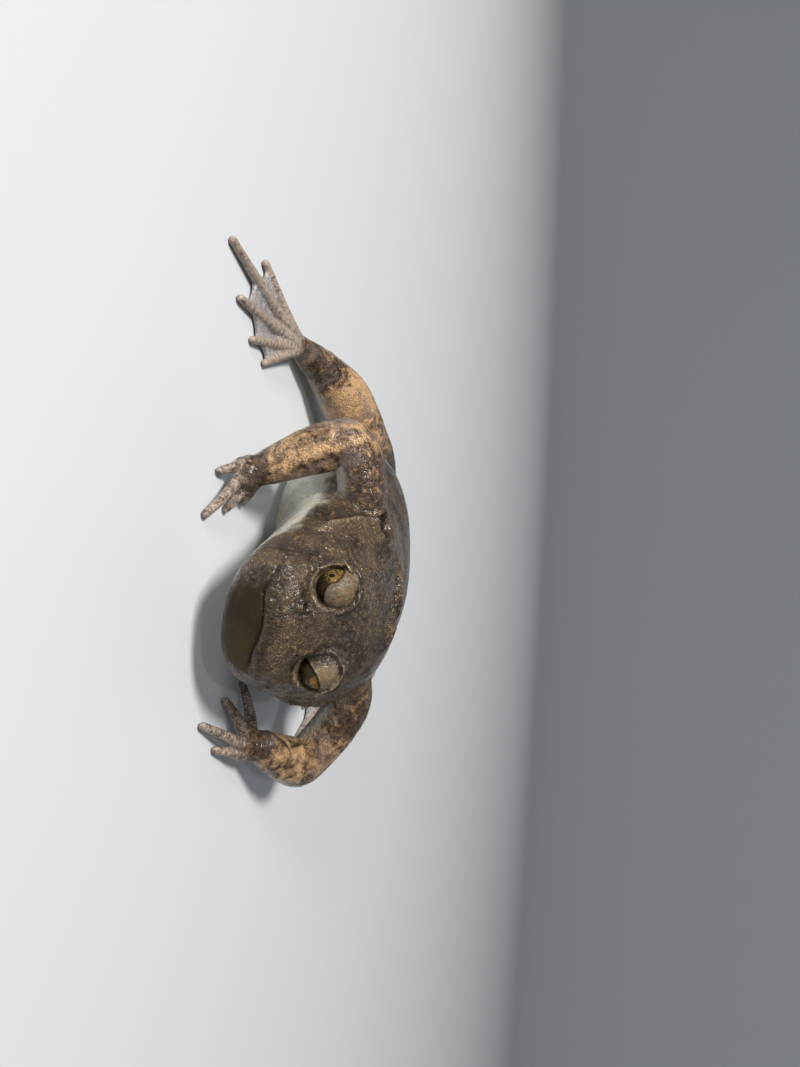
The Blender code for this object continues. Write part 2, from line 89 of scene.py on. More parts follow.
# Lower jaw and mouth, in the straight frog. The line of the mouth is given by angles round the
# middle of the mouth, from the frog's right to its left, and heights.
CHIN_CENTRE = (0.0, -28.2, 6.3)
CHIN_RADII = (8.0, 5.8, 3.9)
MUZZLE_Y = -24.0
MOUTH_CENTRE_Y = -26.0
MOUTH_LINE = ((-58.0, 9.15), (-50.0, 8.85), (-41.0, 8.75), (-33.0, 8.35), (-25.0, 8.1),
              (-16.0, 8.4), (0.0, 8.65), (12.0, 8.4), (22.0, 8.05), (32.0, 7.9), (37.0, 7.9))
MOUTH_SPAN = ((-58.0, -51.0), (37.0, 31.0))

# Eyes, for the left side and in the straight frog: the ball, the lid that is drawn over it, and
# the direction in which the round of the socket faces
EYE_CENTRE = (5.0, -27.9, 14.5)
EYE_RADIUS = 2.2
EYE_FRONT = (0.214, -0.944, 0.251)
PUPIL_AXIS = (0.694, -0.702, -0.157)
PUPIL_HALF = (0.25, 0.4)
PUPIL_LEAN = 14.0
CORNEA_HEIGHT = 0.1
CORNEA_EDGE = (1.5, 0.3)
LID_RADIUS = 2.42
LID_FOOT = 0.7
SOCKET_RADIUS = 2.4
ORBIT_RADIUS = 2.85
ORBIT_RIM = 0.42
ORBIT_AHEAD = 0.3
ORBIT_BULGE = 3.3
BULGE_BEHIND = 1.5

# Free edge of the lid and the crease over it, seen from in front: outward and up from the ball
LID_MARGIN = {
    RIGHT: ((-2.6, 0.2), (-2.0, -0.85), (-1.6, -1.1), (-1.0, -1.15), (-0.3, -1.05), (0.22, -0.72),
            (0.6, 0.0), (1.38, 0.43), (1.9, 0.5), (2.6, 0.3)),
    LEFT: ((-2.6, -2.2), (-2.0, -1.9), (-1.6, -1.5), (-1.2, -0.8), (-0.7, -0.25), (0.0, 0.15),
           (0.7, 0.4), (1.4, 0.5), (2.0, 0.3), (2.6, -0.1)),
}
BROW_CREASE = ((-1.5, 2.75), (-0.55, 2.85), (0.32, 2.62), (1.08, 2.26), (1.6, 1.9), (2.1, 1.42),
               (2.55, 0.8), (3.0, 0.15), (3.5, -0.3))
BROW_FADE = ((0.0, 0.15), (1.0, 0.9))
BROW_DEPTH = 3.5

NOSTRIL = (3.05, -31.7, 12.7)
NOSTRIL_AXIS = (0.45, -0.75, 0.5)
NOSTRIL_DEPTH = 2.0

# Limbs: centre line and radius at each point, in the posed frog
ARM_POINTS = {
    RIGHT: ((-9.0, -11.5, 15.0), (-14.5, -11.6, 16.3), (-20.1, -11.2, 14.8), (-19.7, -12.8, 10.6),
            (-17.9, -15.6, 5.4)),
    LEFT: ((9.0, -11.5, 12.6), (16.6, -11.8, 13.5), (24.8, -13.4, 7.6), (23.2, -16.4, 6.0),
           (20.0, -19.6, 4.2)),
}
ARM_RADII = (4.0, 3.3, 3.2, 3.2, 2.4)
LEG_POINTS = {
    RIGHT: ((-7.0, 25.5, 6.4), (-12.6, 24.0, 6.6), (-18.0, 21.5, 6.8), (-23.8, 17.4, 5.4),
            (-28.6, 12.6, 3.4)),
    LEFT: ((7.0, 25.5, 6.4), (14.5, 18.5, 6.8), (20.8, 10.8, 7.2), (24.6, 20.0, 5.5),
           (26.6, 29.4, 3.4)),
}
LEG_RADII = (6.0, 5.8, 4.5, 4.3, 2.9)
LEG_KNEE = 2

# Hands: palm centre, then root and tip of fingers one to four
PALM_CENTRE = {RIGHT: (-17.0, -17.0, 3.0), LEFT: (18.3, -21.6, 2.8)}
PALM_RADII = (2.5, 2.2, 1.6)
WRIST_RADIUS = 1.76
FINGERS = {
    RIGHT: (((-15.6, -15.8, 2.8), (-12.6, -14.4, 0.7)), ((-15.9, -17.4, 2.7), (-13.0, -19.4, 0.7)),
            ((-16.9, -18.4, 2.4), (-13.6, -25.2, 0.6)), ((-18.5, -17.5, 2.5), (-18.0, -20.6, 0.6))),
    LEFT: (((16.6, -20.2, 2.7), (11.4, -18.2, 0.9)), ((16.4, -22.0, 2.4), (11.7, -23.2, 0.7)),
           ((17.4, -23.4, 2.3), (11.9, -29.8, 0.6)), ((19.2, -23.0, 2.3), (16.8, -26.8, 0.6))),
}
FINGER_ARCH = 0.25
FINGER_WAIST = 0.94

# Directions on the round end of a limb, from its axis round to its side
CAP_ANGLES = (86.0, 72.0, 58.0, 44.0, 30.0, 15.0)

# Radii of a finger or toe: inside the palm or sole, where it comes out, and at its tip
DIGIT_ROOT = 1.2
DIGIT_BASE = 0.9
DIGIT_TIP = 0.52

# Feet: where the toes fan out, heading of the fourth toe, spread of the fan
FOOT_BASE = {RIGHT: (-31.8, 7.4, 1.8), LEFT: (28.6, 22.8, 1.8)}
FOOT_HEADING = {RIGHT: 236.0, LEFT: 289.0}
FOOT_SPREAD = {RIGHT: 0.88, LEFT: 0.75}
TOE_LENGTHS = (11.5, 15.5, 20.0, 24.5, 15.0)
TOE_FAN = (48.0, 32.0, 16.0, 0.0, -19.0)
TOE_TIP_HEIGHT = DIGIT_TIP + 0.05
KNUCKLE_SHARE = 0.45
KNUCKLE_HEIGHT = 1.05
WEB_REACH = ((0.94, 0.88), (0.92, 0.82), (0.9, 0.7), (0.64, 0.94))
WEB_NOTCH = 0.88
WEB_THICKNESS = 0.6
WEB_HEIGHT = 0.55
WEB_STEPS = 9
TARSUS_RADII = (2.8, 2.4, 1.8)
SPADE_SHARE = 0.22
SPADE_RADII = (1.17, 1.17, 0.9)

# Smoothing of the skin: share of each step, and what is given back to keep the size
RELAX_STEP = 0.5
RELAX_RETURN = 0.53
JOINT_EDGE = (9.0, 6.0)
SOCKET_SOFT = (4.2, 3.4)
SOCKET_SOFT_BACK = -1.0

# Where the skin is finer: reach and depth at an eye, distance from the mouth and from a nostril
FINE_EYE = 3.9
FINE_DEPTH = (-1.2, 5.0)
FINE_MOUTH = 0.9
FINE_NOSTRIL = 1.2

# Soft ridges and grooves: distance of the middle from the line they follow, half width, height
SOCKET_RIM = (2.68, 0.17, 0.3)
SOCKET_TRENCH = (2.42, 0.1, -0.16)
LID_WELT = (-0.12, 0.12, 0.1)
MOUTH_FORMS = ((0.0, 0.13, -0.34), (0.65, 0.5, 0.2), (-0.45, 0.3, 0.06))
NOSTRIL_FORMS = ((0.6, 0.25, 0.08), (0.0, 0.26, -0.7))
BROW_FORMS = ((0.0, 0.15, 0.32), (0.34, 0.14, -0.16))
PIT_RIM = (1.9, 0.6, 0.45)
PIT_HOLE = (0.0, 1.1, -1.7)
VENT_RING = (1.2, 0.5, 1.0)
VENT_HOLE = (0.0, 0.6, -0.9)

# Carving at an eye: how far it reaches, the dish of the socket, the skin over the lid, and the
# seams between them. A pair says where a form is gone and where it is full.
CARVE_REACH = 5.0
CARVE_DEPTH = (-0.4, 6.0)
UPPER_PART = (0.0, 1.6)
LOWER_PART = (0.9, -0.3)
NASAL_PART = (-0.7, -1.7)
DISH_LEVEL = 0.55
DISH_LIFT = 0.7
DISH_SLOPE = 1.7
DISH_REST = 0.22
COVER_LEVEL = 3.47
COVER_SLOPE = 1.1
COVER_SINK = 2.0
LID_TUCK = 0.2
LID_SEAM = 0.12
LID_CUT = (-0.045, 0.045)
SOCKET_WALL = (SOCKET_RADIUS - 0.04, SOCKET_RADIUS - 0.14)
BALL_BEHIND = EYE_RADIUS - 0.3

NECK_RIDGE = ((-11.6, -15.6, 16.0), (-11.9, -17.6, 14.8), (-11.9, -19.8, 13.4),
              (-11.5, -22.0, 12.0), (-10.9, -24.0, 10.9), (-10.0, -26.0, 9.6))

# Folds of the head and neck in the straight frog, where its right side has x < 0: line, half
# width, and height above the skin
FOLDS = (
    (((-8.6, -13.2, 17.8), (-6.6, -14.6, 18.9), (-4.5, -15.2, 19.5), (-1.7, -15.6, 19.8),
      (0.8, -16.2, 19.8), (3.2, -17.6, 19.4), (5.5, -18.2, 18.6)), 0.6, 0.6),
    (((-6.0, -15.8, 19.0), (-4.0, -16.5, 19.5), (-1.7, -17.0, 19.7), (1.4, -17.8, 19.5)),
     0.42, -0.9),
    (NECK_RIDGE, 0.55, 0.85),
    (((-12.9, -15.6, 14.0), (-12.8, -18.6, 12.2), (-12.2, -21.4, 10.6), (-11.4, -24.0, 8.8)),
     0.5, -0.28),
    (((12.3, -16.4, 14.4), (12.5, -19.1, 12.7), (11.8, -22.1, 11.2), (10.9, -25.0, 8.6)),
     0.5, 0.6),
    (((10.6, -23.0, 14.0), (10.1, -25.4, 11.8), (9.3, -27.2, 10.0)), 0.3, -0.35),
)
FOLD_SAMPLES = 15
FOLD_FADE = ((0.0, 0.25), (1.0, 0.75))
SHOULDER_PIT = (-11.3, -14.5, 16.2)
PIT_STRETCH = (1.1, 0.6, 0.9)
VENT = (0.0, 34.2, 8.4)

# Noise on the surface: size of its lumps, seed, octaves, lowest and highest value
FOLD_CLOUD = (1.1, 21, 2, 0.6, 1.4)
PIT_CLOUD = (1.3, 41, 2, -0.7, 0.7)
VENT_CLOUD = (0.7, 31, 1, 0.25, 0.45)
CHIN_CLOUD = (1.6, 17, 3, -7.0, 7.0)
BELLY_CLOUD = (2.6, 3, 3, -2.0, 2.0)
SKIN_CLOUD = (2.2, 5, 3, -0.05, 0.05)

# Granules: size, seed and height; they fade on calm marks, and nothing sinks below the ground
GRANULES = (0.8, 11)
GRANULE_HEIGHT = 0.07
GROUND = 0.02
CALM_MARKS = {"chin": 1.0, "lip": 0.7, "lid": 1.0, "web": 1.0, "digit": 0.6}
HASH_FACTORS = (374761393, 668265263, 2147483647, 1274126177)
GRID_SHIFT = 100.0

# Marks of the skin. A pair says where a mark is gone and where it is full, along a limb from 0
# to 1 or in millimetres from it, and a gold number how much lighter the mark makes the limb.
MARKS = ("limb", "gold", "digit", "ring", "web", "chin", "lip", "lid", "ridge_sheen", "dusky", "pale")
LIMB_EDGE = (1.6, 0.5)
ARM_START = (0.12, 0.32)
UPPER_ARM = (0.5, 0.3)
LEG_START = (0.2, 0.45)
SHANK_SPAN = ((0.52, 0.7), (0.96, 0.76))
SHANK_GOLD = 1.3
TARSUS_START = (0.85, 1.0)
TARSUS_GOLD = -0.7
PALM_EDGE = (3.6, 2.6)
FINGER_EDGE = (1.25, 0.9)
FINGER_GOLD = -0.8
TOE_EDGE = (1.3, 0.95)
TOE_START = (0.0, 0.4)
TOE_GOLD = 0.9
WEB_EDGE = (0.55, 0.85)
WEB_SPAN = 4.5
WEB_TOP = 1.3

# Marks of the mouth: degrees round it, and millimetres above its line
CHIN_SPAN = ((-40.0, -29.0), (48.0, 37.0))
CHIN_LEVEL = ((-7.0, -5.2), (0.15, -0.15))
CHIN_TAPER = 1.8
LIP_SPAN = ((-40.0, -26.0), (50.0, 36.0))
LIP_LEVEL = ((-0.1, 0.1), (2.5, 1.1))

# Marks of the eyes: the pale lid, and the painted wet highlight along the edge of its socket and
# along the crease over it
LID_MARK = (SOCKET_RADIUS + 0.05, SOCKET_RADIUS - 0.1)
LID_MARK_BACK = -0.8
NASAL_MARK = (-2.0, -1.1)
RIM_SHEEN = (2.66, 0.2, 0.7)
RIM_SHEEN_TOP = (1.0, -0.2)
BROW_SHEEN = (0.0, 0.14, 0.8)
# Painted wet highlight along the neck ridge: its half width and strength
NECK_SHEEN_WIDTH = 0.45
NECK_SHEEN = 0.45
# Painted shade on the ball: where it darkens towards the socket's wall, and the width of the
# painted shadow under the lid's free edge
BALL_SHADE = (EYE_RADIUS - 0.22, EYE_RADIUS - 0.02)
LID_SHADE = 0.16

# The greyer crown, and the edge of the pale belly: its height, and steps of that along the frog
DUSK_CENTRE = (0.0, -27.0, 17.0)
DUSK_STRETCH = (0.8, 1.0, 1.0)
DUSK_WIDTH = 6.5
BELLY_EDGE = 2.2
BELLY_STEPS = ((6.1, (-30.5, -26.5)), (0.8, (-14.0, -2.0)), (-6.0, (14.0, 28.0)))
BELLY_FADE = (0.0, -1.6)
UNDERSIDE = (-0.25, -0.65)
UNDERSIDE_PALE = 0.7
# Painted shade: how deep the skin must be sunk in a groove or pit to be painted darkest
GROOVE_SHADE_DEPTH = (0.0, -0.5)

# Colours: linear red, green and blue
COLOURS = {
    "back_dark": (0.02, 0.014, 0.01), "back_brown": (0.06, 0.041, 0.026),
    "back_slate": (0.046, 0.04, 0.043), "back_tan": (0.22, 0.128, 0.048),
    "back_fleck": (0.35, 0.24, 0.12), "crown_dark": (0.026, 0.021, 0.019),
    "crown_grey": (0.105, 0.083, 0.068), "limb_dark": (0.02, 0.012, 0.009),
    "limb_brown": (0.09, 0.054, 0.033), "limb_gold": (0.29, 0.172, 0.082),
    "limb_bright": (0.58, 0.385, 0.212), "limb_lilac": (0.115, 0.088, 0.098),
    "digit_brown": (0.085, 0.06, 0.047), "digit_pale": (0.39, 0.32, 0.27),
    "web_grey": (0.22, 0.205, 0.215), "web_pale": (0.45, 0.43, 0.43),
    "belly_white": (0.46, 0.47, 0.43), "belly_cream": (0.46, 0.39, 0.28),
    "belly_speck": (0.16, 0.14, 0.12), "chin_dark": (0.016, 0.009, 0.002),
    "chin_olive": (0.03, 0.019, 0.006), "lip_dark": (0.024, 0.015, 0.008),
    "lip_brown": (0.055, 0.038, 0.022), "lid_grey": (0.11, 0.09, 0.062),
    "lid_brown": (0.165, 0.102, 0.056), "lid_pale": (0.2, 0.165, 0.115),
    "lid_pepper": (0.045, 0.033, 0.022), "ridge_sheen_tan": (0.26, 0.2, 0.12),
    "hollow_black": (0.01, 0.007, 0.005), "iris_dark": (0.028, 0.016, 0.005),
    "iris_ochre": (0.19, 0.125, 0.034), "iris_gold": (0.36, 0.25, 0.085),
    "iris_warm": (0.22, 0.1, 0.025), "iris_dusk": (0.014, 0.008, 0.004),
    "pupil_ring": (0.2, 0.13, 0.035), "pupil_black": (0.002, 0.0015, 0.001),
    "eye_edge_shade": (0.012, 0.008, 0.005), "floor_grey": (0.6, 0.64, 0.69),
    "sky": (0.93, 0.97, 1.0),
}

# Noises of the skin, then of the iris: scale per millimetre, detail, roughness, distortion
NOISES = {
    "broad": (0.28, 5.0, 0.55, 0.0),
    "patchy": (0.5, 5.0, 0.6, 0.8),
    "specks": (1.7, 4.0, 0.65, 0.0),
    "flecks": (4.5, 2.0, 0.55, 0.0),
    "lilac": (0.35, 3.0, 0.55, 0.0),
    "veins": (1.3, 5.0, 0.7, 1.2),
    "pepper": (7.0, 2.0, 0.55, 0.0),
    "moist": (0.9, 3.0, 0.55, 0.0),
    "wet": (0.7, 3.0, 0.55, 0.0),
    "film": (1.7, 2.0, 0.55, 0.0),
    "net": (2.6, 4.0, 0.65, 0.7),
    "threads": (6.0, 3.0, 0.6, 0.0),
}
# Granules in the skin's material: cells per millimetre and their depth
GRANULE_CELLS = ((3.6, 0.11), (7.5, 0.035))

# Floor, in metres
FLOOR_RADIUS = 1.1
FLOOR_CURVE = 0.6
FLOOR_SIDES = 96
FLOOR_STEPS = 12

# Lamps, in metres: place, width, power and tint
LAMPS = {
    "key": ((-0.44, -0.34, 0.58), 0.16, 8.0, (1.0, 0.94, 0.86)),
    "fill": ((0.6, -0.45, 0.45), 0.5, 0.18, (1.0, 1.0, 1.0)),
    "low": ((-0.6, -0.42, 0.2), 0.12, 1.8, (1.0, 0.98, 0.95)),
    "glint": ((-0.30, -0.62, 0.60), 0.03, 0.8, (1.0, 1.0, 1.0)),
    "back": ((0.2, 0.7, 0.6), 0.4, 0.5, (0.95, 0.98, 1.0)),
}
LAMP_TARGET = (0.0, -0.01, 0.01)
SKY_STRENGTH = 0.14

# Camera: it stands off the frog's right front corner, a little above
CAMERA_PLACE = (-36.3, -114.3, 43.9)
CAMERA_YAW = -15.0
CAMERA_ELEVATION = 12.0
CAMERA_ROLL = 3.0
CAMERA_LENS = 28.0
CAMERA_NEAR = 0.005


def smooth(value):
    value = np.clip(value, 0.0, 1.0)
    return value * value * (3.0 - 2.0 * value)


def ramp(value, gone, full):
    """Zero at the first bound, one at the second, soft between; either may be the larger."""
    return smooth((value - gone) / (full - gone))


def band(value, start, end):
    """One between two soft bounds, each of them a pair for ramp."""
    return ramp(value, *start) * ramp(value, *end)


def bump(distance, width):
    """A soft hump, one at no distance and near nothing at twice the width."""
    return np.exp(-(distance / width) ** 2)


def swell(gap, form):
    """A ridge or groove: its height at a distance from the line that it follows."""
    middle, width, height = form
    return height * bump(gap - middle, width)


def turn(angle, axis):
    return Matrix.Rotation(math.radians(angle), 3, axis)


def head_turn(share=1.0):
    """The turn of the head, or a share of it."""
    roll = turn(HEAD_ROLL * share, "Y")
    return turn(HEAD_YAW * share, "Z") @ turn(HEAD_PITCH * share, "X") @ roll


def posed(point):
    """Carries a point of the straight frog to its place in the turned and lifted head."""
    share = float(ramp(point[1], TURN_NONE_Y, TURN_FULL_Y))
    pivot = Vector(HEAD_PIVOT)
    return head_turn(share) @ (Vector(point) - pivot) + pivot + UP * HEAD_LIFT * share


def straightened(points):
    """Carries points of the posed frog back to the straight one."""
    pivot = np.array(HEAD_PIVOT)
    places = points.copy()
    yaw, pitch, roll = (math.radians(angle) for angle in (HEAD_YAW, HEAD_PITCH, HEAD_ROLL))
    for _ in range(STRAIGHTEN_ROUNDS):
        share = ramp(places[:, 1], TURN_NONE_Y, TURN_FULL_Y)
        moved = points - pivot
        moved[:, 2] -= HEAD_LIFT * share
        for angle, first, second in ((-yaw, 0, 1), (-pitch, 1, 2), (-roll, 2, 0)):
            cosine, sine = np.cos(angle * share), np.sin(angle * share)
            one, two = moved[:, first].copy(), moved[:, second].copy()
            moved[:, first] = cosine * one - sine * two
            moved[:, second] = sine * one + cosine * two
        places = moved + pivot
    return places


def head_direction(vector):
    """Turns a direction with the head."""
    return (head_turn() @ Vector(vector)).normalized()


def mirrored(vector, side):
    return Vector((vector[0] * side, vector[1], vector[2]))


def heading(angle):
    """A level direction, from an angle in degrees."""
    return Vector((math.cos(math.radians(angle)), math.sin(math.radians(angle)), 0.0))


def curve_rows(rows, count):
    """Reads count evenly spaced rows from a smooth curve through the given rows."""
    rows = np.array(rows, float)
    padded = np.vstack((2 * rows[0] - rows[1], rows, 2 * rows[-1] - rows[-2]))
    places = np.linspace(0.0, len(rows) - 1.0, count)
    starts = np.minimum(places.astype(int), len(rows) - 2)
    t = (places - starts)[:, None]
    before, first, second, after = (padded[starts + step] for step in range(4))
    return 0.5 * (2 * first + (second - before) * t
                  + (2 * before - 5 * first + 4 * second - after) * t * t
                  + (3 * first - before - 3 * second + after) * t ** 3)


def join_rings(mesh, rings):
    """Adds the faces between each ring of vertices and the next."""
    for near, far in zip(rings, rings[1:]):
        for index in range(len(near)):
            following = (index + 1) % len(near)
            mesh.faces.new((near[index], near[following], far[following], far[index]))


def add_tube(mesh, rings):
    """Joins equal rings of points into one closed tube with flat ends."""
    rows = [[mesh.verts.new(point) for point in ring] for ring in rings]
    join_rings(mesh, rows)
    mesh.faces.new(rows[0][::-1])
    mesh.faces.new(rows[-1])


def add_limb(mesh, points, radii, sides=28, samples=48):
    """A round limb through the points, with a hemisphere at each end."""
    rows = curve_rows([(*point, radius) for point, radius in zip(points, radii)], samples)
    stations = [(Vector(row[:3]), float(row[3])) for row in rows]
    caps = []
    for (centre, size), (inner, _) in (stations[:2], stations[:-3:-1]):
        out = (centre - inner).normalized() * size
        caps.append([(centre + out * math.sin(math.radians(angle)),
                      size * math.cos(math.radians(angle))) for angle in CAP_ANGLES])
    across = UP.cross((stations[0][0] - stations[1][0]).normalized())
    stations = caps[0] + stations + caps[1][::-1]
    rings = []
    for index, (centre, size) in enumerate(stations):
        behind = stations[max(index - 1, 0)][0]
        ahead = stations[min(index + 1, len(stations) - 1)][0]
        way = (ahead - behind).normalized()
        across = (across - way * across.dot(way)).normalized()
        up = way.cross(across)
        turns = [2.0 * math.pi * step / sides for step in range(sides)]
        rings.append([centre + (across * math.cos(angle) + up * math.sin(angle)) * size
                      for angle in turns])
    add_tube(mesh, rings)


def add_ball(mesh, centre, radii, segments=48, aim=Matrix.Identity(3)):
    shape = Matrix.Translation(centre) @ aim.to_4x4() @ Matrix.Diagonal((*radii, 1.0))
    bmesh.ops.create_uvsphere(mesh, u_segments=segments, v_segments=segments // 2, radius=1.0,
                              matrix=shape)


def add_torus(mesh, centre, axis, major, minor, sides=72, parts=16):
    """A closed ring of round section about an axis."""
    aim = axis.to_track_quat("Z", "Y").to_matrix()
    up = aim @ UP
    rows = []
    for step in range(sides):
        out = aim @ heading(360.0 * step / sides)
        row = []
        for part in range(parts):
            lean = 2.0 * math.pi * part / parts
            place = centre + out * (major + minor * math.cos(lean)) + up * minor * math.sin(lean)
            row.append(mesh.verts.new(place))
        rows.append(row)
    join_rings(mesh, rows + rows[:1])


def place(mesh, name):
    """Puts a bmesh into the scene as an object."""
    data = bpy.data.meshes.new(name)
    mesh.to_mesh(data)
    mesh.free()
    item = bpy.data.objects.new(name, data)
    bpy.context.scene.collection.objects.link(item)
    return item


def bake(item):
    """Applies the modifiers of an object."""
    graph = bpy.context.evaluated_depsgraph_get()
    data = bpy.data.meshes.new_from_object(item.evaluated_get(graph), depsgraph=graph)
    old = item.data
    item.modifiers.clear()
    item.data = data
    bpy.data.meshes.remove(old)


def read_vectors(rows, key="co"):
    values = np.zeros(len(rows) * 3, np.float32)
    rows.foreach_get(key, values)
    return values.reshape(-1, 3).astype(float)


def write_places(data, places):
    data.vertices.foreach_set("co", places.astype(np.float32).ravel())
    data.update()


def write_amounts(data, amounts):
    """Stores named amounts, one for each vertex, for the material to read."""
    for name, values in amounts.items():
        layer = data.attributes.new(name, "FLOAT", "POINT")
        layer.data.foreach_set("value", values.astype(np.float32))


def trunk_shell(mesh):
    """The trunk and head, rounded squares that follow the stations, in the posed frog."""
    rings = []
    for y, width, top, bottom in curve_rows(TRUNK_STATIONS, TRUNK_RINGS):
        middle = bottom + (top - bottom) * TRUNK_WIDEST
        ring = []
        for step in range(TRUNK_SIDES):
            angle = 2.0 * math.pi * step / TRUNK_SIDES
            cosine, sine = math.cos(angle), math.sin(angle)
            across = math.copysign(abs(cosine) ** (2.0 / TRUNK_POWER), cosine)
            rise = math.copysign(abs(sine) ** (2.0 / TRUNK_POWER), sine)
            height = top - middle if sine > 0.0 else middle - bottom
            ring.append(posed((width * across, y, middle + height * rise)))
        rings.append(ring)
    add_tube(mesh, rings)


def eye_frame(side):
    """Middle of an eyeball, and its outward, upward and forward directions."""
    front = Vector(EYE_FRONT).normalized()
    rise = (UP - front * front.z).normalized()
    outward = rise.cross(front)
    directions = [head_direction(mirrored(way, side)) for way in (outward, rise, front)]
    return posed(mirrored(EYE_CENTRE, side)), *directions


def head_shells(mesh):
    """Lower jaw, and the eyelids, rims and bulges of the orbits."""
    add_ball(mesh, posed(CHIN_CENTRE), CHIN_RADII, 72, head_turn())
    for side in SIDES:
        centre, _, _, front = eye_frame(side)
        add_ball(mesh, centre, (LID_RADIUS,) * 3, 64)
        add_torus(mesh, centre + front * ORBIT_AHEAD, front, ORBIT_RADIUS, ORBIT_RIM)
        add_ball(mesh, centre - front * BULGE_BEHIND, (ORBIT_BULGE,) * 3)


def arm_shells(mesh, side):
    """Arm, palm and four fingers of one side."""
    wrist = ARM_POINTS[side][-1]
    palm = PALM_CENTRE[side]
    add_limb(mesh, ARM_POINTS[side], ARM_RADII)
    add_limb(mesh, (wrist, palm), (ARM_RADII[-1], WRIST_RADIUS), samples=16)
    add_ball(mesh, palm, PALM_RADII)
    waist = (DIGIT_BASE + DIGIT_TIP) * FINGER_WAIST / 2.0
    for root, tip in FINGERS[side]:
        middle = Vector(root).lerp(Vector(tip), 0.5) + UP * FINGER_ARCH
        add_limb(mesh, (palm, root, middle, tip), (DIGIT_ROOT, DIGIT_BASE, waist, DIGIT_TIP),
                 16, 36)


def toe_tip(side, toe):
    """Tip of a toe; the first is on the inner side of the foot."""
    angle = FOOT_HEADING[side] - side * TOE_FAN[toe] * FOOT_SPREAD[side]
    tip = Vector(FOOT_BASE[side]) + heading(angle) * TOE_LENGTHS[toe]
    return Vector((tip.x, tip.y, TOE_TIP_HEIGHT))


def web_shell(mesh, side):
    """The web between the toes: a thin plate whose edge curves in from toe to toe."""
    base = Vector(FOOT_BASE[side])
    base.z = WEB_HEIGHT
    outline = [base]
    for toe, (near, far) in enumerate(WEB_REACH):
        first = toe_tip(side, toe)
        second = toe_tip(side, toe + 1)
        first.z = second.z = WEB_HEIGHT
        start = base.lerp(first, near)
        end = base.lerp(second, far)
        middle = base.lerp(first.lerp(second, 0.5), WEB_NOTCH * (near + far) / 2.0)
        for share in np.linspace(0.0, 1.0, WEB_STEPS):
            outline.append(start.lerp(middle, share).lerp(middle.lerp(end, share), share))
    half = UP * (WEB_THICKNESS / 2)
    low = [mesh.verts.new(point - half) for point in outline]
    high = [mesh.verts.new(point + half) for point in outline]
    for index in range(1, len(outline) - 1):
        mesh.faces.new((low[0], low[index], low[index + 1]))
        mesh.faces.new((high[0], high[index + 1], high[index]))
    join_rings(mesh, (high, low))


def leg_shells(mesh, side):
    """Thigh, shank, tarsus, web, toes and heel spade of one side."""
    points, bend = LEG_POINTS[side], LEG_KNEE + 1
    base = Vector(FOOT_BASE[side])
    middle = Vector(points[-1]).lerp(base, 0.5)
    add_limb(mesh, points[:bend], LEG_RADII[:bend])
    add_limb(mesh, points[LEG_KNEE:], LEG_RADII[LEG_KNEE:])
    add_limb(mesh, (points[-1], middle, FOOT_BASE[side]), TARSUS_RADII, samples=24)
    web_shell(mesh, side)
    for toe in range(len(TOE_LENGTHS)):
        tip = toe_tip(side, toe)
        knuckle = base.lerp(tip, KNUCKLE_SHARE)
        knuckle.z = KNUCKLE_HEIGHT
        add_limb(mesh, (FOOT_BASE[side], knuckle, tip), (DIGIT_ROOT, DIGIT_BASE, DIGIT_TIP), 16)
    spade = base.lerp(toe_tip(side, 0), SPADE_SHARE)
    spade.z = SPADE_RADII[2]
    add_ball(mesh, spade, SPADE_RADII, 24)


class Skin:
    """The whole skin as arrays: the places of its vertices and its edges."""

    def __init__(self):
        mesh = bmesh.new()
        trunk_shell(mesh)
        head_shells(mesh)
        for side in SIDES:
            arm_shells(mesh, side)
            leg_shells(mesh, side)
        bmesh.ops.recalc_face_normals(mesh, faces=mesh.faces)
        self.item = place(mesh, "frog_skin")
        remesh = self.item.modifiers.new("melt", "REMESH")
        remesh.mode = "VOXEL"
        remesh.voxel_size = SKIN_VOXEL
        bake(self.item)
        self.read()

    def read(self):
        data = self.item.data
        self.points = read_vectors(data.vertices)
        edges = np.zeros(len(data.edges) * 2, np.int32)
        data.edges.foreach_get("vertices", edges)
        self.edges = edges.reshape(-1, 2)
        self.degree = np.bincount(edges, minlength=len(self.points))

    def write(self):
        write_places(self.item.data, self.points)

    def around(self, values):
        """The mean of an amount over each vertex's neighbours."""
        first, second = self.edges.T
        total = (np.bincount(first, values[second], len(values))
                 + np.bincount(second, values[first], len(values)))
        return total / self.degree

    def pull(self):
        """The way from each vertex to the middle of its neighbours."""
        return np.stack([self.around(axis) for axis in self.points.T], axis=1) - self.points

    def spread(self, values, rounds):
        """Blurs an amount over the surface."""
        for _ in range(rounds):
            values = 0.5 * values + 0.5 * self.around(values)
        return values

    def relax(self, rounds, weight=1.0, keep_size=False):
        """Smooths the surface where the weight says so."""
        weight = np.broadcast_to(np.asarray(weight, float), (len(self.points),))[:, None]
        for _ in range(rounds):
            self.points += self.pull() * RELAX_STEP * weight
            if keep_size:
                self.points -= self.pull() * RELAX_RETURN * weight

    def normals(self):
        self.write()
        return read_vectors(self.item.data.vertex_normals, "vector")

    def refine(self, near):
        """Cuts every edge in the chosen part in two."""
        mesh = bmesh.new()
        mesh.from_mesh(self.item.data)
        edges = [edge for edge in mesh.edges
                 if near[edge.verts[0].index] and near[edge.verts[1].index]]
        bmesh.ops.subdivide_edges(mesh, edges=edges, cuts=1, use_grid_fill=True)
        mesh.to_mesh(self.item.data)
        mesh.free()
        self.read()


def distance(points, centre):
    return np.linalg.norm(points - np.array(centre), axis=1)


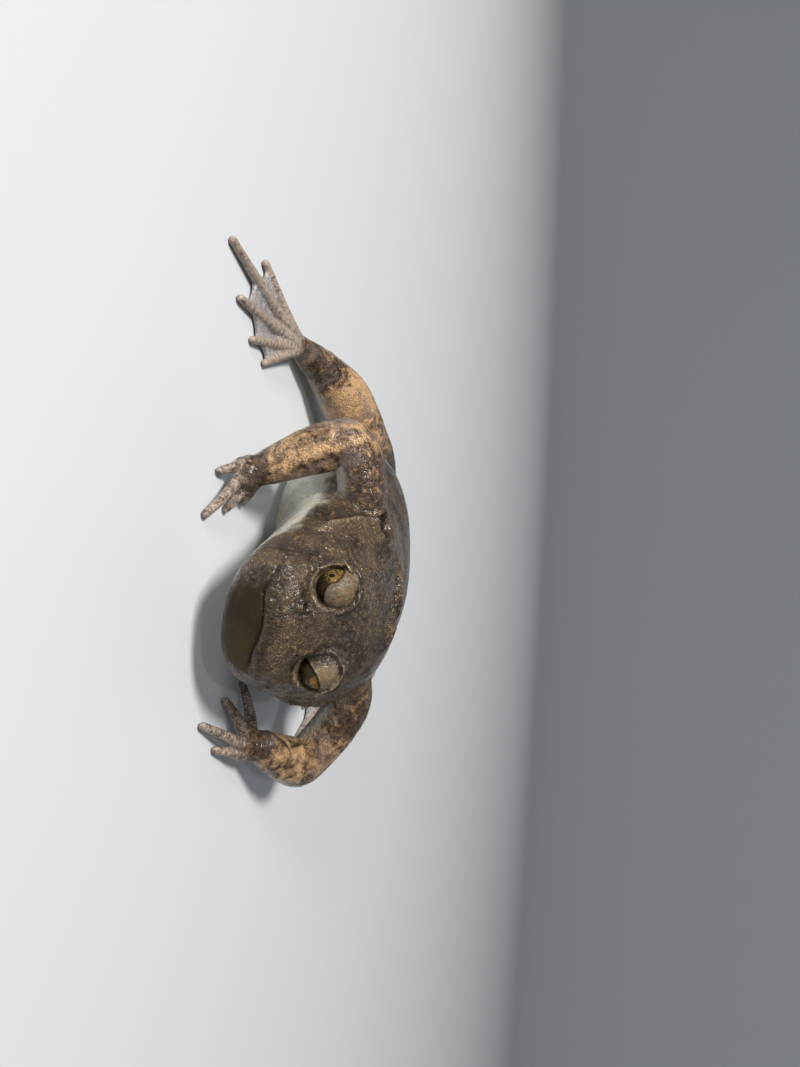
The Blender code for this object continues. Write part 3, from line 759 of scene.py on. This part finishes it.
def path_distance(points, path):
    """Distance from points to a line through the path, and how far along it, from 0 to 1."""
    best = np.full(len(points), np.inf)
    along = np.zeros(len(points))
    path = np.array(path, float)
    steps = np.linalg.norm(np.diff(path, axis=0), axis=1)
    starts = np.concatenate(((0.0,), np.cumsum(steps)))
    for index, (start, end) in enumerate(zip(path, path[1:])):
        way = (end - start) / steps[index]
        reach = np.clip((points - start) @ way, 0.0, steps[index])
        gap = np.linalg.norm(points - start - reach[:, None] * way, axis=1)
        nearer = gap < best
        best = np.where(nearer, gap, best)
        along = np.where(nearer, (starts[index] + reach) / starts[-1], along)
    return best, along


def scrambled(x, y, z, seed):
    """A number from 0 to 1 for each cell of a grid, the same each run."""
    mixed = sum(value * factor for value, factor in zip((x, y, z, seed), HASH_FACTORS))
    mixed = mixed & 0xFFFFFFFF
    mixed = ((mixed ^ (mixed >> 13)) * HASH_FACTORS[-1]) & 0xFFFFFFFF
    return ((mixed ^ (mixed >> 16)) & 0xFFFFFF) / float(0xFFFFFF)


def cloud(points, size, seed, octaves, low, high):
    """Soft noise between two values, with lumps of about the given size."""
    total = np.zeros(len(points))
    weights = [0.5 ** octave for octave in range(octaves)]
    for octave, weight in enumerate(weights):
        scaled = points / size * 2.0 ** octave + GRID_SHIFT
        cell = np.floor(scaled).astype(np.int64)
        part = smooth(scaled - cell)
        for corner in np.ndindex(2, 2, 2):
            share = np.prod(np.where(corner, part, 1.0 - part), axis=1)
            total += weight * share * scrambled(*(cell + corner).T, seed + octave)
    return low + (high - low) * total / sum(weights)


def granules(points, size, seed):
    """Distance to the nearest of many scattered points, in units of the cell size."""
    scaled = points / size + GRID_SHIFT
    cell = np.floor(scaled).astype(np.int64)
    nearest = np.full(len(points), FAR)
    for step in np.ndindex(3, 3, 3):
        corner = cell + step - 1
        jitter = np.stack([scrambled(*corner.T, seed + axis) for axis in range(3)], axis=1)
        nearest = np.minimum(nearest, np.sum((corner + jitter - scaled) ** 2, axis=1))
    return np.sqrt(nearest)


def mouth_place(straight):
    """Angle round the mouth, height above its line, and whether a point is on the muzzle."""
    angle = np.degrees(np.arctan2(straight[:, 0], MOUTH_CENTRE_Y - straight[:, 1]))
    return angle, straight[:, 2] - np.interp(angle, *zip(*MOUTH_LINE)), straight[:, 1] < MUZZLE_Y


def eye_view(points, side):
    """Points as seen from in front of an eye: outward, up and forward, and off its axis."""
    centre, *ways = (np.array(value) for value in eye_frame(side))
    outward, rise, front = ((points - centre) @ way for way in ways)
    return np.stack((outward, rise, front), axis=1), np.hypot(outward, rise)


def flat_distance(view, path):
    """Distance to a line in the view of an eye, and how far along it."""
    return path_distance(view * (1.0, 1.0, 0.0), [(*point, 0.0) for point in path])


def lid_gap(view, side):
    """Distance from the free edge of the lid, positive where the eye is open."""
    gap, _ = flat_distance(view, LID_MARGIN[side])
    return np.where(view[:, 1] < np.interp(view[:, 0], *zip(*LID_MARGIN[side])), gap, -gap)


def brow_gap(view):
    """Distance from the crease over the lid, and how strong the crease is there."""
    gap, along = flat_distance(view, BROW_CREASE)
    return gap, band(along, *BROW_FADE) * (abs(view[:, 2]) < BROW_DEPTH)


def sculpt_eyes(skin):
    """Sinks the sockets, rounds the lids over the balls and opens them."""
    for side in SIDES:
        view, reach = eye_view(skin.points, side)
        outward, rise, ahead = view.T
        upper = ramp(rise, *UPPER_PART)
        dish = DISH_LEVEL + DISH_LIFT * upper + DISH_SLOPE * np.maximum(reach - SOCKET_RADIUS, 0.0)
        target = np.minimum(ahead, dish + DISH_REST * np.clip(ahead - dish, 0.0, 1.0))
        target += swell(reach, SOCKET_RIM) * ramp(rise, *LOWER_PART) + swell(reach, SOCKET_TRENCH)
        cover = upper
        if side == LEFT:
            cover = np.maximum(upper, ramp(outward, *NASAL_PART))
        slope = COVER_LEVEL - COVER_SLOPE * reach
        target = np.maximum(target, slope * cover - COVER_SINK * (1.0 - cover))
        dome = np.sqrt(np.maximum(LID_RADIUS ** 2 - reach ** 2, LID_FOOT ** 2))
        onto = smooth((SOCKET_RADIUS - LID_TUCK * upper - reach) / LID_SEAM)
        target = target * (1.0 - onto) + dome * onto
        gap = lid_gap(view, side)
        target += swell(gap, LID_WELT) * onto
        inside = np.sqrt(np.maximum(BALL_BEHIND ** 2 - reach ** 2, 0.0))
        opened = ramp(gap, *LID_CUT) * ramp(reach, *SOCKET_WALL)
        target = target * (1.0 - opened) + inside * opened
        near = (reach < CARVE_REACH) & (ahead > CARVE_DEPTH[0]) & (ahead < CARVE_DEPTH[1])
        front = np.array(eye_frame(side)[3])
        skin.points += front * np.where(near, target - ahead, 0.0)[:, None]


def nostril_gap(straight, side):
    """Distance from the axis of a nostril."""
    offset = straight - np.array(mirrored(NOSTRIL, side))
    axis = np.array(mirrored(NOSTRIL_AXIS, side).normalized())
    depth = offset @ axis
    gap = np.linalg.norm(offset - depth[:, None] * axis, axis=1)
    return np.where(abs(depth) < NOSTRIL_DEPTH, gap, FAR)


def fold_amount(straight, path, width):
    """One along a fold that lies on the skin, fading out at its sides and ends."""
    snapped = [straight[np.argmin(np.sum((straight - row) ** 2, axis=1))]
               for row in curve_rows(path, FOLD_SAMPLES)]
    gap, along = path_distance(straight, snapped)
    return bump(gap, width) * band(along, *FOLD_FADE)


def sculpt_face(skin, straight):
    """Mouth, nostrils, brows, folds, pit and vent, as heights along the normals."""
    angle, level, muzzle = mouth_place(straight)
    height = sum(swell(level, form) for form in MOUTH_FORMS) * band(angle, *MOUTH_SPAN) * muzzle
    for side in SIDES:
        gap = nostril_gap(straight, side)
        height += sum(swell(gap, form) for form in NOSTRIL_FORMS)
        gap, fade = brow_gap(eye_view(skin.points, side)[0])
        height += sum(swell(gap, form) for form in BROW_FORMS) * fade
    lumpy = cloud(straight, *FOLD_CLOUD)
    for path, width, rise in FOLDS:
        height += rise * lumpy * fold_amount(straight, path, width)
    gap = distance(straight * PIT_STRETCH, np.multiply(SHOULDER_PIT, PIT_STRETCH))
    gap += cloud(straight, *PIT_CLOUD)
    height += lumpy * swell(gap, PIT_RIM) + swell(gap, PIT_HOLE)
    gap = distance(straight, VENT)
    height += cloud(straight, *VENT_CLOUD) * swell(gap, VENT_RING) + swell(gap, VENT_HOLE)
    return height


def limb_amount(points, path, radii):
    """One on a limb's own surface, fading out beyond it, and how far along the limb."""
    gap, along = path_distance(points, path)
    radius = np.interp(along, np.linspace(0.0, 1.0, len(radii)), radii)
    return ramp(gap - radius, *LIMB_EDGE), along


def lift(marks, name, values):
    """Raises a mark to the given values where they are higher."""
    marks[name] = np.maximum(marks[name], values)


def paint_digit(marks, points, path, edge):
    """Marks a finger or toe; returns its mark, the way along it and the distance from it."""
    gap, along = path_distance(points, path)
    digit = ramp(gap, *edge)
    lift(marks, "digit", digit)
    lift(marks, "ring", digit * along)
    return digit, along, gap


def paint_arm(marks, points, side):
    """A golden forearm between a dark upper arm and a dark hand."""
    arm, along = limb_amount(points, ARM_POINTS[side], ARM_RADII)
    arm *= ramp(along, *ARM_START)
    palm = ramp(distance(points, PALM_CENTRE[side]), *PALM_EDGE)
    lift(marks, "limb", np.maximum(arm, palm))
    marks["gold"] -= arm * ramp(along, *UPPER_ARM) + palm
    for path in FINGERS[side]:
        digit, _, _ = paint_digit(marks, points, path, FINGER_EDGE)
        marks["gold"] += FINGER_GOLD * digit


def paint_leg(marks, points, side):
    """A golden shank, a darker tarsus, ringed toes and the web between them."""
    leg, along = limb_amount(points, LEG_POINTS[side], LEG_RADII)
    leg *= ramp(along, *LEG_START)
    base = FOOT_BASE[side]
    tarsus, _ = limb_amount(points, (LEG_POINTS[side][-1], base), TARSUS_RADII[::2])
    lift(marks, "limb", np.maximum(leg, tarsus))
    marks["gold"] += SHANK_GOLD * leg * band(along, *SHANK_SPAN)
    marks["gold"] += TARSUS_GOLD * tarsus * ramp(along, *TARSUS_START)
    nearest = np.full(len(points), FAR)
    for toe in range(len(TOE_LENGTHS)):
        path = (Vector(base), toe_tip(side, toe))
        digit, along, gap = paint_digit(marks, points, path, TOE_EDGE)
        marks["gold"] += TOE_GOLD * digit * ramp(along, *TOE_START)
        nearest = np.minimum(nearest, gap)
    fan = (distance(points, base) < max(TOE_LENGTHS)) & (nearest < WEB_SPAN)
    lift(marks, "web", ramp(nearest, *WEB_EDGE) * fan * (points[:, 2] < WEB_TOP))


def paint_mouth(marks, points, straight):
    """The dark plate of the chin, and the lip over it."""
    angle, level, muzzle = mouth_place(straight)
    waver = cloud(points, *CHIN_CLOUD) + CHIN_TAPER * np.minimum(level, 0.0)
    right, left = CHIN_SPAN
    chin = ramp(angle + waver, *right) * ramp(angle - waver, *left)
    marks["chin"] = chin * band(level, *CHIN_LEVEL) * muzzle
    marks["lip"] = band(angle, *LIP_SPAN) * band(level, *LIP_LEVEL) * muzzle


def paint_eyes(marks, points):
    """Lids, and the painted wet highlight on the rims of the sockets and along the creases over the
    eyes.
    """
    for side in SIDES:
        view, reach = eye_view(points, side)
        shown = view[:, 2] > LID_MARK_BACK
        if side == LEFT:
            shown = shown * ramp(view[:, 0], *NASAL_MARK)
        lift(marks, "lid", ramp(reach, *LID_MARK) * shown)
        gap, fade = brow_gap(view)
        lift(marks, "ridge_sheen", swell(reach, RIM_SHEEN) * ramp(view[:, 1], *RIM_SHEEN_TOP) * shown)
        lift(marks, "ridge_sheen", swell(gap, BROW_SHEEN) * fade)


def pale_amount(marks, points, straight, normals):
    """The white belly and the pale undersides of the limbs."""
    edge = BELLY_EDGE + cloud(points, *BELLY_CLOUD)
    for rise, span in BELLY_STEPS:
        edge += rise * ramp(straight[:, 1], *span)
    covered = np.maximum(np.maximum(marks["limb"], marks["digit"]), marks["web"])
    belly = ramp(straight[:, 2] - edge, *BELLY_FADE) * (1.0 - covered) * (1.0 - marks["chin"])
    under = ramp(normals[:, 2], *UNDERSIDE) * marks["limb"]
    return np.maximum(belly, UNDERSIDE_PALE * under)


def paint(points, straight, normals):
    """The marks that the skin's material reads, an amount for each vertex."""
    marks = {name: np.zeros(len(points)) for name in MARKS}
    for side in SIDES:
        paint_arm(marks, points, side)
        paint_leg(marks, points, side)
    paint_mouth(marks, points, straight)
    paint_eyes(marks, points)
    # Painted wet highlight along the neck ridge
    lift(marks, "ridge_sheen", NECK_SHEEN * fold_amount(straight, NECK_RIDGE, NECK_SHEEN_WIDTH))
    crown = np.linalg.norm((straight - DUSK_CENTRE) * DUSK_STRETCH, axis=1)
    marks["dusky"] = bump(crown, DUSK_WIDTH)
    marks["pale"] = pale_amount(marks, points, straight, normals)
    return marks


def round_joints(skin):
    """Smooths the skin where the arms and thighs leave the trunk."""
    weight = np.zeros(len(skin.points))
    for side in SIDES:
        for centre in (ARM_POINTS[side][0], LEG_POINTS[side][1]):
            weight = np.maximum(weight, ramp(distance(skin.points, centre), *JOINT_EDGE))
    skin.relax(12, weight)


def refine_face(skin):
    """Makes the skin finer at the eyes, the mouth and the nostrils."""
    straight = straightened(skin.points)
    _, level, muzzle = mouth_place(straight)
    near = (abs(level) < FINE_MOUTH) & muzzle
    low, high = FINE_DEPTH
    for side in SIDES:
        view, reach = eye_view(skin.points, side)
        near |= (reach < FINE_EYE) & (view[:, 2] > low) & (view[:, 2] < high)
        near |= nostril_gap(straight, side) < FINE_NOSTRIL
    skin.write()
    skin.refine(near)


def soften_sockets(skin):
    weight = np.zeros(len(skin.points))
    for side in SIDES:
        view, reach = eye_view(skin.points, side)
        shown = view[:, 2] > SOCKET_SOFT_BACK
        weight = np.maximum(weight, ramp(reach, *SOCKET_SOFT) * shown)
    skin.relax(3, weight)


def build_skin():
    """The skin, melted from its shells, smoothed, carved and painted."""
    skin = Skin()
    skin.relax(5, keep_size=True)
    round_joints(skin)
    refine_face(skin)
    sculpt_eyes(skin)
    soften_sockets(skin)
    straight = straightened(skin.points)
    normals = skin.normals()
    height = sculpt_face(skin, straight)
    marks = paint(skin.points, straight, normals)
    grain = GRANULE_HEIGHT * (0.5 - granules(skin.points, *GRANULES))
    grain += cloud(skin.points, *SKIN_CLOUD)
    calm = sum(marks[name] * weight for name, weight in CALM_MARKS.items())
    height += grain * (1.0 - np.clip(calm, 0.0, 1.0))
    skin.points += normals * height[:, None]
    skin.points[:, 2] = np.maximum(skin.points[:, 2], GROUND)
    skin.write()
    # Painted shade: grooves, pits and holes sunk into the skin are marked for darkening
    marks["hollow"] = skin.spread(ramp(height, *GROOVE_SHADE_DEPTH), 2)
    write_amounts(skin.item.data, marks)
    return skin.item


class Tree:
    """Short calls that add shader nodes. Colours, noises and marks can be given by name."""

    def __init__(self, name):
        self.material = bpy.data.materials.new(name)
        self.material.use_nodes = True
        self.nodes = self.material.node_tree.nodes
        self.found = {}
        self.where = None

    def named(self, name):
        """A colour, the output of a noise, or else an amount stored on the vertices."""
        if name in COLOURS:
            return (*COLOURS[name], 1.0)
        if name in NOISES and name not in self.found:
            inputs = dict(zip(("Scale", "Detail", "Roughness", "Distortion"), NOISES[name]))
            inputs["Vector"] = self.where
            self.found[name] = self.node("ShaderNodeTexNoise", inputs)
        if name not in self.found:
            self.found[name] = self.node("ShaderNodeAttribute", {}, "Fac", attribute_name=name)
        return self.found[name]

    def feed(self, socket, value):
        """Joins a socket to an output, or sets it to a number or colour."""
        if isinstance(value, str):
            value = self.named(value)
        if isinstance(value, bpy.types.NodeSocket):
            self.material.node_tree.links.new(value, socket)
        else:
            socket.default_value = value

    def node(self, kind, inputs, output=0, **settings):
        made = self.nodes.new(kind)
        for name, value in settings.items():
            setattr(made, name, value)
        for key, value in inputs.items():
            self.feed(made.inputs[key], value)
        return made.outputs[output]

    def surface(self, inputs):
        """Feeds the material's own shader, and gives back the material."""
        for name, value in inputs.items():
            self.feed(self.nodes["Principled BSDF"].inputs[name], value)
        return self.material

    def maths(self, operation, first, second=0.0, clamp=False):
        return self.node("ShaderNodeMath", {0: first, 1: second}, operation=operation,
                         use_clamp=clamp)

    def plus(self, first, second, clamp=False):
        return self.maths("ADD", first, second, clamp)

    def minus(self, first, second):
        return self.maths("SUBTRACT", first, second)

    def times(self, first, second):
        return self.maths("MULTIPLY", first, second)

    def window(self, value, low, high):
        """Zero below low, one above high, soft between; low may be the larger."""
        return self.node("ShaderNodeMapRange", {"Value": value, "From Min": low, "From Max": high},
                         interpolation_type="SMOOTHSTEP")

    def mix(self, factor, first, second):
        return self.node("ShaderNodeMix", {0: factor, 6: first, 7: second}, 2, data_type="RGBA")

    def blend(self, value, low, high, first, second):
        """The first colour where the value is low, the second where it is high."""
        return self.mix(self.window(value, low, high), first, second)

    def relief(self, height, depth, normal=None):
        inputs = {"Height": height, "Distance": depth * MILLIMETRE, "Strength": 1.0}
        if normal is not None:
            inputs["Normal"] = normal
        return self.node("ShaderNodeBump", inputs)


def back_colour(tree):
    """Head and back: dark brown with slate and tan patches and pale flecks, greyer on top."""
    back = tree.blend("broad", 0.38, 0.60, "back_dark", "back_brown")
    back = tree.blend("patchy", 0.56, 0.68, back, "back_slate")
    back = tree.blend("specks", 0.52, 0.78, back, "back_tan")
    flecks = tree.times(tree.window("flecks", 0.60, 0.72), tree.window("broad", 0.38, 0.58))
    plain = tree.minus(1.0, tree.times("dusky", 0.75))
    back = tree.mix(tree.times(flecks, plain), back, "back_fleck")
    grey = tree.blend("specks", 0.4, 0.72, "crown_dark", "crown_grey")
    return tree.mix(tree.times("dusky", 0.5), back, grey)


def limb_colour(tree, gold):
    """Arms and legs: dark brown with golden and lilac patches."""
    brown = tree.blend("specks", 0.35, 0.68, "limb_dark", "limb_brown")
    golden = tree.blend("flecks", 0.3, 0.7, "limb_gold", "limb_bright")
    spots = tree.plus(tree.plus("patchy", gold), tree.times("specks", 0.25))
    limb = tree.blend(spots, 0.47, 0.82, brown, golden)
    return tree.mix(tree.times(tree.window("lilac", 0.5, 0.68), 0.55), limb, "limb_lilac")


def digit_colour(tree, gold):
    """Fingers and toes: brown with pale rings."""
    rings = tree.times(tree.maths("SINE", tree.times("ring", 95.0)), 0.12)
    rings = tree.plus(tree.plus(rings, tree.times("specks", 2.4)), gold)
    return tree.blend(rings, 0.6, 1.6, "digit_brown", "digit_pale")


def belly_colour(tree):
    white = tree.blend("patchy", 0.4, 0.65, "belly_white", "belly_cream")
    return tree.blend("specks", 0.62, 0.74, white, "belly_speck")


def lid_colour(tree):
    lid = tree.blend("patchy", 0.42, 0.68, "lid_grey", "lid_brown")
    lid = tree.blend("specks", 0.45, 0.7, lid, "lid_pale")
    return tree.mix(tree.times(tree.window("pepper", 0.56, 0.68), 0.75), lid, "lid_pepper")


def skin_colour(tree):
    """The colours of the parts, each laid over the last where its mark says, then a painted
    highlight on the wet ridges and painted shade in the grooves and pits.
    """
    gold = tree.times("gold", 0.16)
    base = back_colour(tree)
    layers = {
        "limb": limb_colour(tree, gold),
        "digit": digit_colour(tree, gold),
        "web": tree.blend("veins", 0.4, 0.62, "web_grey", "web_pale"),
        "pale": belly_colour(tree),
        "chin": tree.blend("broad", 0.35, 0.65, "chin_dark", "chin_olive"),
        "lip": tree.blend("specks", 0.4, 0.7, "lip_dark", "lip_brown"),
        "lid": lid_colour(tree),
    }
    for mark, layer in layers.items():
        base = tree.mix(mark, base, layer)
    # Painted highlight: the wet ridges at the sockets, brows and neck are lightened to tan where
    # speckled
    base = tree.mix(tree.times("ridge_sheen", tree.window("specks", 0.3, 0.6)), base, "ridge_sheen_tan")
    # Painted shade: grooves, pits and holes darkened towards black
    return tree.mix(tree.times("hollow", 0.85), base, "hollow_black")


def skin_material():
    """Moist, grainy skin under a coat of water that is thinner in places."""
    tree = Tree("frog_skin")
    place_m = tree.node("ShaderNodeTexCoord", {}, "Object")
    tree.where = tree.node("ShaderNodeVectorMath", {0: place_m, 3: 1.0 / MILLIMETRE},
                           operation="SCALE")
    calm = tree.plus("chin", tree.times("lid", 0.6), clamp=True)
    grainy = tree.minus(1.0, tree.times(calm, 0.8))
    normal = None
    for scale, depth in GRANULE_CELLS:
        cells = tree.node("ShaderNodeTexVoronoi", {"Vector": tree.where, "Scale": scale})
        normal = tree.relief(tree.times(tree.times(cells, -1.0), grainy), depth, normal)
    coat = tree.plus(tree.window("wet", 0.3, 0.55), "ridge_sheen", clamp=True)
    coat = tree.plus(coat, "web", clamp=True)
    return tree.surface({
        "Base Color": skin_colour(tree),
        "Roughness": tree.plus(0.34, tree.times(tree.window("moist", 0.3, 0.7), 0.2)),
        "Specular IOR Level": 0.16,
        "Subsurface Weight": 0.06,
        "Subsurface Radius": (1.0, 0.5, 0.3),
        "Subsurface Scale": 0.4 * MILLIMETRE,
        "Normal": tree.relief("specks", 0.05, normal),
        "Coat Weight": tree.times(coat, grainy),
        "Coat Roughness": 0.13,
        "Coat IOR": 1.33,
        "Coat Normal": tree.relief("film", 0.3),
    })


def eye_material():
    """Ochre iris with a dark net and gold threads, dusky below, and an oval pupil, with painted
    shade at the ball's edge and under the lid.
    """
    tree = Tree("frog_eye")
    tree.where = tree.node("ShaderNodeCombineXYZ", {0: "across", 1: "up"})
    iris = tree.blend("net", 0.40, 0.62, "iris_dark", "iris_ochre")
    iris = tree.blend("threads", 0.55, 0.7, iris, "iris_gold")
    warm = tree.times(tree.window("up", -0.1, 0.5), tree.window("across", 0.5, -0.4))
    iris = tree.mix(tree.times(warm, 0.35), iris, "iris_warm")
    dusk = tree.minus(tree.minus(tree.times("net", 1.4), "up"), tree.times("across", 0.8))
    iris = tree.mix(tree.times(tree.window(dusk, 1.25, 1.9), 0.85), iris, "iris_dusk")
    iris = tree.blend("pupil", 1.3, 1.1, iris, "pupil_ring")
    iris = tree.blend("pupil", 1.12, 0.96, iris, "pupil_black")
    return tree.surface({
        # Painted shade: near black where the ball meets its socket and under the lid's free edge
        "Base Color": tree.mix("edge", iris, "eye_edge_shade"),
        "Roughness": tree.plus(0.3, tree.times("threads", 0.2)),
        "Specular IOR Level": 0.0,
        "Normal": tree.relief("net", 0.12),
        "Coat Weight": 0.5,
        "Coat Roughness": 0.02,
        "Coat IOR": 1.34,
    })


def build_eye(side, word):
    """An eyeball with its cornea standing a little proud over the pupil."""
    centre, outward, rise, _ = eye_frame(side)
    mesh = bmesh.new()
    add_ball(mesh, centre, (EYE_RADIUS,) * 3, 128)
    item = place(mesh, "eyeball_" + word)
    offset = read_vectors(item.data.vertices) - np.array(centre)
    axis = head_direction(mirrored(PUPIL_AXIS, side))
    upward = (rise - axis * rise.dot(axis)).normalized()
    sideways = outward - axis * outward.dot(axis)
    sideways = (sideways - upward * sideways.dot(upward)).normalized()
    across, up, ahead = (offset @ np.array(way) for way in (sideways, upward, axis))
    cornea = CORNEA_HEIGHT * ramp(np.hypot(across, up), *CORNEA_EDGE) * (ahead > 0.0)
    places = offset * (1.0 + cornea / EYE_RADIUS)[:, None] + np.array(centre)
    write_places(item.data, places)
    lean = math.radians(PUPIL_LEAN)
    wide = across * math.cos(lean) + up * math.sin(lean)
    tall = up * math.cos(lean) - across * math.sin(lean)
    oval = np.hypot(wide / PUPIL_HALF[0], tall / PUPIL_HALF[1])
    view, reach = eye_view(places, side)
    # Painted shade: the ball darkens towards the socket's wall and under the free edge of the lid,
    # stored as the edge amount
    shade = np.maximum(ramp(reach, *BALL_SHADE), bump(lid_gap(view, side), LID_SHADE))
    write_amounts(item.data, {"across": across, "up": up, "edge": shade,
                              "pupil": np.where(ahead > 0.0, oval, FAR)})
    return item


def finish(item, material, nodes):
    """Scales a piece to metres and ties it to the frame."""
    item.data.transform(Matrix.Scale(MILLIMETRE, 4))
    item.data.materials.append(material)
    item.data.shade_smooth()
    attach(item, "root")
    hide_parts(*nodes)


def build_stage():
    """A round pale floor whose far edge curves up, so that no horizon shows."""
    mesh = bmesh.new()
    middle = mesh.verts.new((0.0, 0.0, 0.0))
    rows = []
    for step in range(FLOOR_STEPS + 1):
        lean = math.radians(90.0 * step / FLOOR_STEPS)
        radius = FLOOR_RADIUS + FLOOR_CURVE * math.sin(lean)
        rise = UP * FLOOR_CURVE * (1.0 - math.cos(lean))
        rows.append([mesh.verts.new(heading(360.0 * side / FLOOR_SIDES) * radius + rise)
                     for side in range(FLOOR_SIDES)])
    for near, following in zip(rows[0], rows[0][1:] + rows[0][:1]):
        mesh.faces.new((middle, near, following))
    join_rings(mesh, rows[::-1])
    floor = place(mesh, "floor")
    floor.data.shade_smooth()
    surface = {"Base Color": "floor_grey", "Roughness": 0.7}
    floor.data.materials.append(Tree("floor").surface(surface))


def build_lights():
    world = bpy.data.worlds.new("studio")
    world.use_nodes = True
    background = world.node_tree.nodes["Background"]
    background.inputs["Color"].default_value = (*COLOURS["sky"], 1.0)
    background.inputs["Strength"].default_value = SKY_STRENGTH
    bpy.context.scene.world = world
    for name, (position, size, power, tint) in LAMPS.items():
        data = bpy.data.lights.new(name, "AREA")
        data.shape = "DISK"
        data.size = size
        data.energy = power
        data.color = tint
        lamp = bpy.data.objects.new(name, data)
        bpy.context.scene.collection.objects.link(lamp)
        lamp.location = position
        back = Vector(position) - Vector(LAMP_TARGET)
        lamp.rotation_euler = back.to_track_quat("Z", "Y").to_euler()
    bpy.context.scene.view_settings.view_transform = "Standard"


def build_camera():
    """A camera that lies on its side."""
    data = bpy.data.cameras.new("camera")
    data.lens = CAMERA_LENS
    data.clip_start = CAMERA_NEAR
    camera = bpy.data.objects.new("camera", data)
    bpy.context.scene.collection.objects.link(camera)
    aim = turn(CAMERA_YAW, "Z") @ turn(90.0 - CAMERA_ELEVATION, "X")
    aim = aim @ turn(90.0 + CAMERA_ROLL, "Z")
    place_m = Vector(CAMERA_PLACE) * MILLIMETRE
    camera.matrix_world = Matrix.Translation(place_m) @ aim.to_4x4()
    bpy.context.scene.camera = camera


flesh = [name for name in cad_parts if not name.startswith("eye_")]
finish(build_skin(), skin_material(), flesh)
eye = eye_material()
for side, word in ((RIGHT, "right"), (LEFT, "left")):
    finish(build_eye(side, word), eye, ["eye_" + word])
build_stage()
build_lights()
build_camera()
